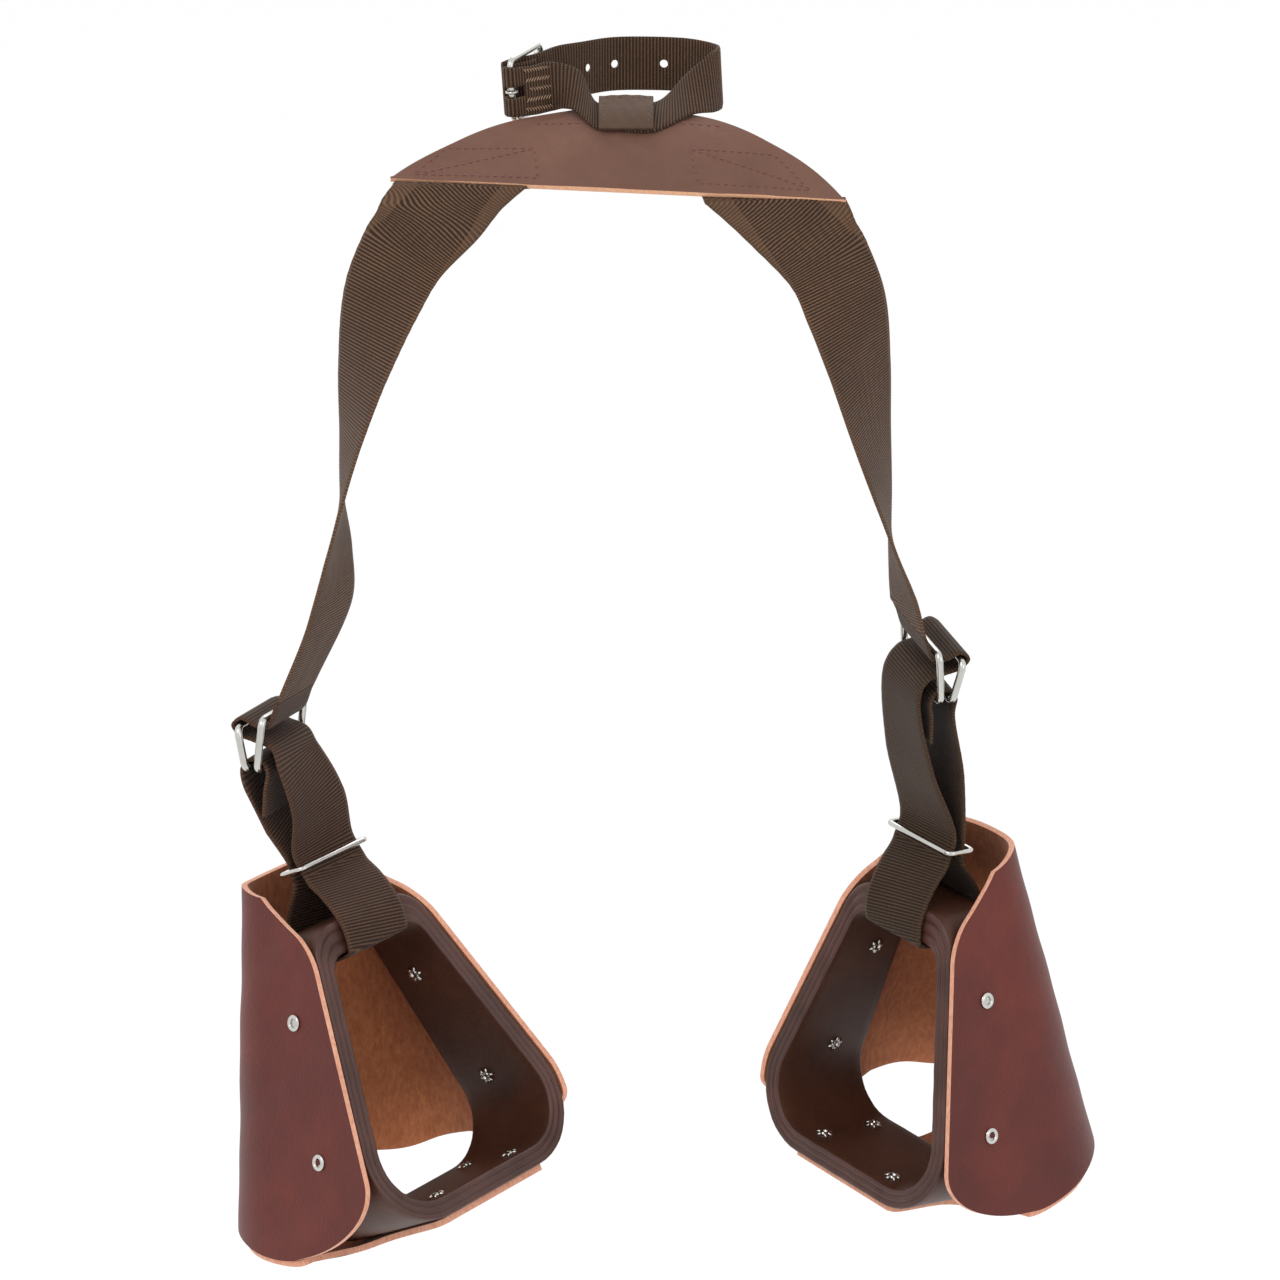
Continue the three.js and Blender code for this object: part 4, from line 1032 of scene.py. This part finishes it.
def build_frame(side):
    outer = trapezium(-WALL, HEIGHT + TOP_BAR, leg_outer(-WALL), leg_outer(HEIGHT + TOP_BAR),
                      BOTTOM_RADIUS + WALL, TOP_RADIUS + WALL)
    inner = trapezium(0, HEIGHT, leg_inner(0), leg_inner(HEIGHT), BOTTOM_RADIUS, TOP_RADIUS)
    section = frame_section()
    lengths = np.linalg.norm(np.roll(outer, -1, 0) - outer, axis=1)
    run = np.concatenate([[0], np.cumsum(lengths)[:-1]])
    rows = []
    for a, b, distance in zip(inner, outer, run):
        line = []
        for share, sign, depth in section:
            p = a + (b - a) * share
            half = HALF_DEPTH - p[1] * TAPER
            if depth < 1:
                ripple = 0.1 * math.sin(distance * 0.35)
            else:
                ripple = 0.12 * math.sin(distance * 0.11 + sign)
            line.append((p[0], sign * (max(half - depth, 0.0) + ripple), p[1]))
        rows.append(line)
    rows = np.array(rows)
    count, cols = rows.shape[:2]
    faces = grid_faces(count, cols, wrap_cols=True, wrap_rows=True)
    marks = []
    for face in faces:
        a, b = section[face[0] % cols], section[(face[0] + 1) % cols]
        on_rim = a[1] == b[1] != 0 and max(a[2], b[2]) <= RIM_MATERIAL_DEPTH
        marks.append(int(on_rim))
    verts = to_world(side, rows).reshape(-1, 3)
    obj = outward(new_object("stirrup_frame_strip_" + side, verts, faces, [STRIP, STRIP_RIM], marks))
    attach(obj, "stirrup_" + side)
    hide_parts("stirrup_frame_" + side)


HOOD_COLUMNS, HOOD_ROWS = 150, 60
SOLE_COLUMNS, SOLE_ROWS = 110, 44


def hood_half(up):
    return leg_outer(up) + 0.7


def inner_half(up):
    """The inner panel follows the strip round its lower corner."""
    tangent = -WALL + (BOTTOM_RADIUS + WALL) * (1 + math.sin(LEAN))
    if up >= tangent:
        return hood_half(up)
    middle = BOTTOM_RADIUS
    centre = leg_outer(tangent) - (BOTTOM_RADIUS + WALL) * math.cos(LEAN)
    return centre + math.sqrt(max((BOTTOM_RADIUS + WALL) ** 2 - (up - middle) ** 2, 0)) + 0.7


def hood_point(s, up):
    side = -1 if s < 0 else 1
    half = hood_half(up) + (inner_half(up) - hood_half(up)) * smooth(0.3, 0.6, s)
    near = -(HALF_DEPTH - up * TAPER)
    round_part = 62 - 0.18 * up
    bend = TOE_REACH - up * TOE_SLOPE - round_part
    part = abs(s)
    if part >= STRAIGHT:
        t = (1 - part) / (1 - STRAIGHT)
        return vec(side * half, near + t * (bend - near), up)
    angle = (1 - part / STRAIGHT) * math.pi / 2
    square = 2 / 2.4
    return vec(side * half * max(math.cos(angle), 0) ** square, bend + round_part * math.sin(angle) ** square,
               up)


def rounded_end(part, start):
    """Rises from 0 at start to 1 at the end of the wall along a quarter of an ellipse."""
    x = min(max((part - start) / (1 - start), 0.0), 1.0)
    return 1 - math.sqrt(1 - x * x)


def hood_top(s):
    part = abs(s)
    corner = 30 * rounded_end(part, 0.6)
    return TOP_NEAR + 8 + (TOP_TOE - TOP_NEAR - 8) * (1 - smooth(0.2, 0.85, part)) - corner


def sole_up(out, forward):
    return SOLE + FLARE * smooth(48, 84, out) + SCOOP * (max(0, forward - HALF_DEPTH) / 80) ** 1.5


def hood_bottom(s):
    outer_corner = 28 * rounded_end(-s, 0.66)
    inner_corner = 14 * rounded_end(s, 0.7)
    free = 5 + 7 * (1 - smooth(0.3, 0.8, s))
    foot = hood_point(s, 0)
    joined = sole_up(-foot[0], foot[1]) + outer_corner
    share = smooth(0.12, 0.36, s)
    return joined * (1 - share) + (free + inner_corner) * share


def wrinkle(s, up):
    """Small dents of the leather, out along the wall's normal."""
    fold = 0.8 * math.sin(up * 0.085 + 4.2 * s) * math.exp(-((abs(s) - 0.42) / 0.2) ** 2)
    soft = 0.35 * math.sin(up * 0.19 + 9 * s) + 0.3 * math.sin(up * 0.05 - 6 * s + 1)
    return fold + soft * smooth(1.0, 0.75, abs(s))


def hood_wall(s, up):
    """A point of the left hood's inner face and the normal out of it. It is mirrored for the right hood."""
    p = hood_point(s, up)
    step = 0.01
    along = hood_point(min(s + step, 1), up) - hood_point(max(s - step, -1), up)
    normal = unit(np.cross(hood_point(s, up + 1) - p, along))
    still = smooth(1.0, 0.8, abs(s))
    return p + normal * (0.35 + 0.45 * wrinkle(s, up) * still), normal


def spread(line):
    """The line's points, spread evenly by number over the columns of the sole."""
    t = np.linspace(0, 1, SOLE_COLUMNS)
    return np.stack([np.interp(t, np.linspace(0, 1, len(line)), line[:, k]) for k in range(2)], 1)


def sole_top(outward_way):
    """The sole tab's upper face: lines from the wall's foot in to the sole's free edge."""
    free = catmull([(-38.5, -29.5), (-41.5, -26), (-42, 4), (-41, 30), (-33, 36), (-25, 43), (-22, 54),
                    (-22, 70), (-24, 88), (-26, 102)], np.linspace(0, 1, 90))
    heel = catmull([(38, -30), (41, -27), (44, 8), (54, 24)], np.linspace(0, 1, 30))
    foot = []
    for s in np.linspace(-0.62, 0.14, 64):
        base = hood_point(s, 0)
        p = hood_point(s, sole_up(-base[0], base[1]))
        inset = unit(p - vec(0, 40, 0))
        foot.append((-(p[0] + inset[0]), p[1] + inset[1]))
    joined, free = spread(np.vstack([heel, foot])), spread(free)
    top = np.zeros((SOLE_COLUMNS, SOLE_ROWS + 1, 3))
    for i in range(SOLE_COLUMNS):
        for j in range(SOLE_ROWS + 1):
            out, forward = joined[i] + (free[i] - joined[i]) * j / SOLE_ROWS
            dent = 0.3 * math.sin(out * 0.12 + forward * 0.07) * smooth(30, 50, forward)
            top[i, j] = (outward_way * out, forward, sole_up(out, forward) - 0.1 + dent)
    return top


def build_hood(side):
    outward_way = SIDES[side]["outward"]
    flip = vec(-outward_way, 1, 1)
    body = "stirrup_" + side
    inside = np.zeros((HOOD_COLUMNS + 1, HOOD_ROWS + 1, 3))
    outside = np.zeros_like(inside)
    for i, s in enumerate(np.sin(np.linspace(-1, 1, HOOD_COLUMNS + 1) * math.pi / 2)):
        low, high = hood_bottom(s), hood_top(s)
        for j in range(HOOD_ROWS + 1):
            p, normal = hood_wall(s, low + (high - low) * j / HOOD_ROWS)
            inside[i, j], outside[i, j] = p, p + normal * (HOOD_THICK - 0.3)
    obj = plate("hood_wall_leather_" + side, to_world(side, outside * flip), to_world(side, inside * flip),
                [HOOD_GRAIN, HOOD_FLESH, HOOD_EDGE], "hood_leather", 0.75)
    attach(obj, body)
    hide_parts("hood_" + side)
    top = sole_top(outward_way)
    below = top - vec(0, 0, HOOD_THICK - 0.2)
    obj = plate("hood_sole_leather_" + side, to_world(side, below), to_world(side, top),
                [HOOD_GRAIN, HOOD_FLESH, HOOD_EDGE], "hood_leather", 0.75)
    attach(obj, body)


def rivet_places(side):
    outward_way = SIDES[side]["outward"]
    places = []
    for panel, sign in (("outer", outward_way), ("inner", -outward_way)):
        for i, (forward, up) in enumerate(LEG_RIVETS[panel]):
            normal = vec(math.cos(LEAN) * sign, 0, math.sin(LEAN))
            inner = vec(sign * leg_inner(up), forward, up) - normal * 0.1
            depth = (hood_half(up) - leg_inner(up)) * math.cos(LEAN) + HOOD_THICK + 0.6
            name = "rivet_%s_%s_%s" % (panel, "upper" if i == 0 else "lower", side)
            places.append((name, inner + normal * depth, inner))
    for i, (out, forward) in enumerate(TREAD_RIVETS):
        below = SOLE - HOOD_THICK - 0.1
        places.append(("rivet_tread_%d_%s" % (i + 1, side), vec(outward_way * out, forward, below),
                       vec(outward_way * out, forward, 0.1)))
    return places


# A turned head and a turned collar as (radius, height), and one petal of the clinched end as (out, beside).
HEAD = ((0, 2.4), (1.85, 2.4), (1.95, 0.2), (2.05, -0.35), (2.35, -0.85), (2.8, -1.15), (3.6, -1.05),
        (4.2, -0.7), (4.5, -0.2), (4.45, 0.1), (4.0, 0.2), (0, 0.3))
HEAD_SIDES, DARK_BANDS = 40, 2  # the first bands of a head are the shadowed inside of its tube
COLLAR = ((0, 0.2), (1.35, 0.2), (1.5, 1.2), (1.95, 1.6), (2.6, 1.3), (2.9, 0.4), (2.9, -0.3), (0, -0.3))
COLLAR_SIDES = 30
PETAL = ((1.7, -0.85), (3.2, -1.25), (4.4, -0.85), (4.9, 0.0), (4.4, 0.85), (3.2, 1.25), (1.7, 0.85))
PETAL_ARCH = (1.45, 1.3, 0.7, 0.2, 0.7, 1.3, 1.45)
PETALS = 6


def petal(angle):
    """One petal of a clinched end: its flat underside and its narrower, arched top."""
    cos, sin = math.cos(angle), math.sin(angle)
    n = len(PETAL)
    verts = []
    for narrow, heights in ((1.0, [-0.2] * n), (0.75, PETAL_ARCH)):
        for (out, beside), height in zip(PETAL, heights):
            verts.append((out * cos - beside * narrow * sin, out * sin + beside * narrow * cos, height))
    faces = [tuple(range(n))[::-1], tuple(range(n, 2 * n))]
    faces += [(i, (i + 1) % n, n + (i + 1) % n, n + i) for i in range(n)]
    return np.array(verts), faces


def build_rivets(side):
    for name, out, inner in rivet_places(side):
        far, near = to_world(side, out), to_world(side, inner)
        way = unit(near - far)
        verts, faces = lathe(HEAD, HEAD_SIDES)
        marks = [int(i < HEAD_SIDES * DARK_BANDS) for i in range(len(faces))]
        verts = placed(verts, far, way, (0.3, 0.2, 1))
        cap = new_object(name + "_head", verts, faces, [NICKEL, NICKEL_DARK], marks)
        outward(cap)
        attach(cap, "stirrup_" + side)
        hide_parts(name)
        parts = [petal(2 * math.pi * (k + 0.3) / PETALS) for k in range(PETALS)]
        before = sum(len(faces) for _, faces in parts)
        parts.append(lathe(COLLAR, COLLAR_SIDES))
        verts, faces = merge([(placed(v, near, way, (0.2, 1, 0.3)), f) for v, f in parts])
        marks = [int(before <= i < before + COLLAR_SIDES) for i in range(len(faces))]
        star = outward(new_object(name + "_clinch", verts, faces, [NICKEL, NICKEL_DARK], marks))
        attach(star, "stirrup_" + side)


# ------------------------------------------------------------------ camera, light and ground
def build_camera():
    data = bpy.data.cameras.new("camera")
    camera = bpy.data.objects.new("camera", data)
    SCENE.collection.objects.link(camera)
    camera.location = (0.013, -2.5114, 0.3709)
    camera.rotation_euler = (math.radians(75), 0, 0)
    data.lens, data.sensor_width = 140.4, 36
    SCENE.camera = camera


def area(name, where, target, size, power, colour=(1, 1, 1)):
    data = bpy.data.lights.new(name, "AREA")
    data.shape, data.size, data.size_y = "RECTANGLE", size[0], size[1]
    data.energy, data.color = power, colour
    light = bpy.data.objects.new(name, data)
    SCENE.collection.objects.link(light)
    light.location = where
    light.rotation_euler = (Vector(target) - Vector(where)).to_track_quat("-Z", "Y").to_euler()
    return light


def build_studio():
    SCENE.view_settings.view_transform = "Standard"
    world = bpy.data.worlds.new("studio")
    world.use_nodes = True
    world.node_tree.nodes["Background"].inputs["Color"].default_value = (1, 1, 1, 1)
    world.node_tree.nodes["Background"].inputs["Strength"].default_value = 1.1
    SCENE.world = world
    middle = (0, 0, -0.3)
    area("key", (-1.3, -1.9, 1.7), middle, (1.2, 1.2), 20)
    area("fill", (1.8, -1.6, 0.5), middle, (1.4, 1.4), 6)
    area("back", (0.2, 1.8, 1.5), middle, (1.4, 1.0), 10)
    white = bpy.data.materials.new("backdrop")
    white.use_nodes = True
    white.node_tree.nodes["Principled BSDF"].inputs["Base Color"].default_value = (0.9, 0.9, 0.9, 1)
    white.node_tree.nodes["Principled BSDF"].inputs["Roughness"].default_value = 1.0
    size, depth = 60, -1.7
    corners = [(x * size, y * size, depth) for x, y in ((-1, -1), (1, -1), (1, 1), (-1, 1))]
    mesh = bpy.data.meshes.new("floor")
    mesh.from_pydata(corners, [], [(0, 1, 2, 3)])
    mesh.materials.append(white)
    floor = bpy.data.objects.new("floor", mesh)
    SCENE.collection.objects.link(floor)
    floor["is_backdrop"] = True


build_camera()
build_studio()
build_yoke()
build_horn_strap()
build_buckle()
for side in SIDES:
    build_upper_strap(side)
    build_plies(side)
    build_bight(side)
    build_adjuster(side)
    build_frame(side)
    build_hood(side)
    build_rivets(side)

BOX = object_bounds()
plain = lambda box: [[float(x) for x in corner] for corner in box]
{"cad": plain(CAD_BOX), "visual": plain(BOX)}
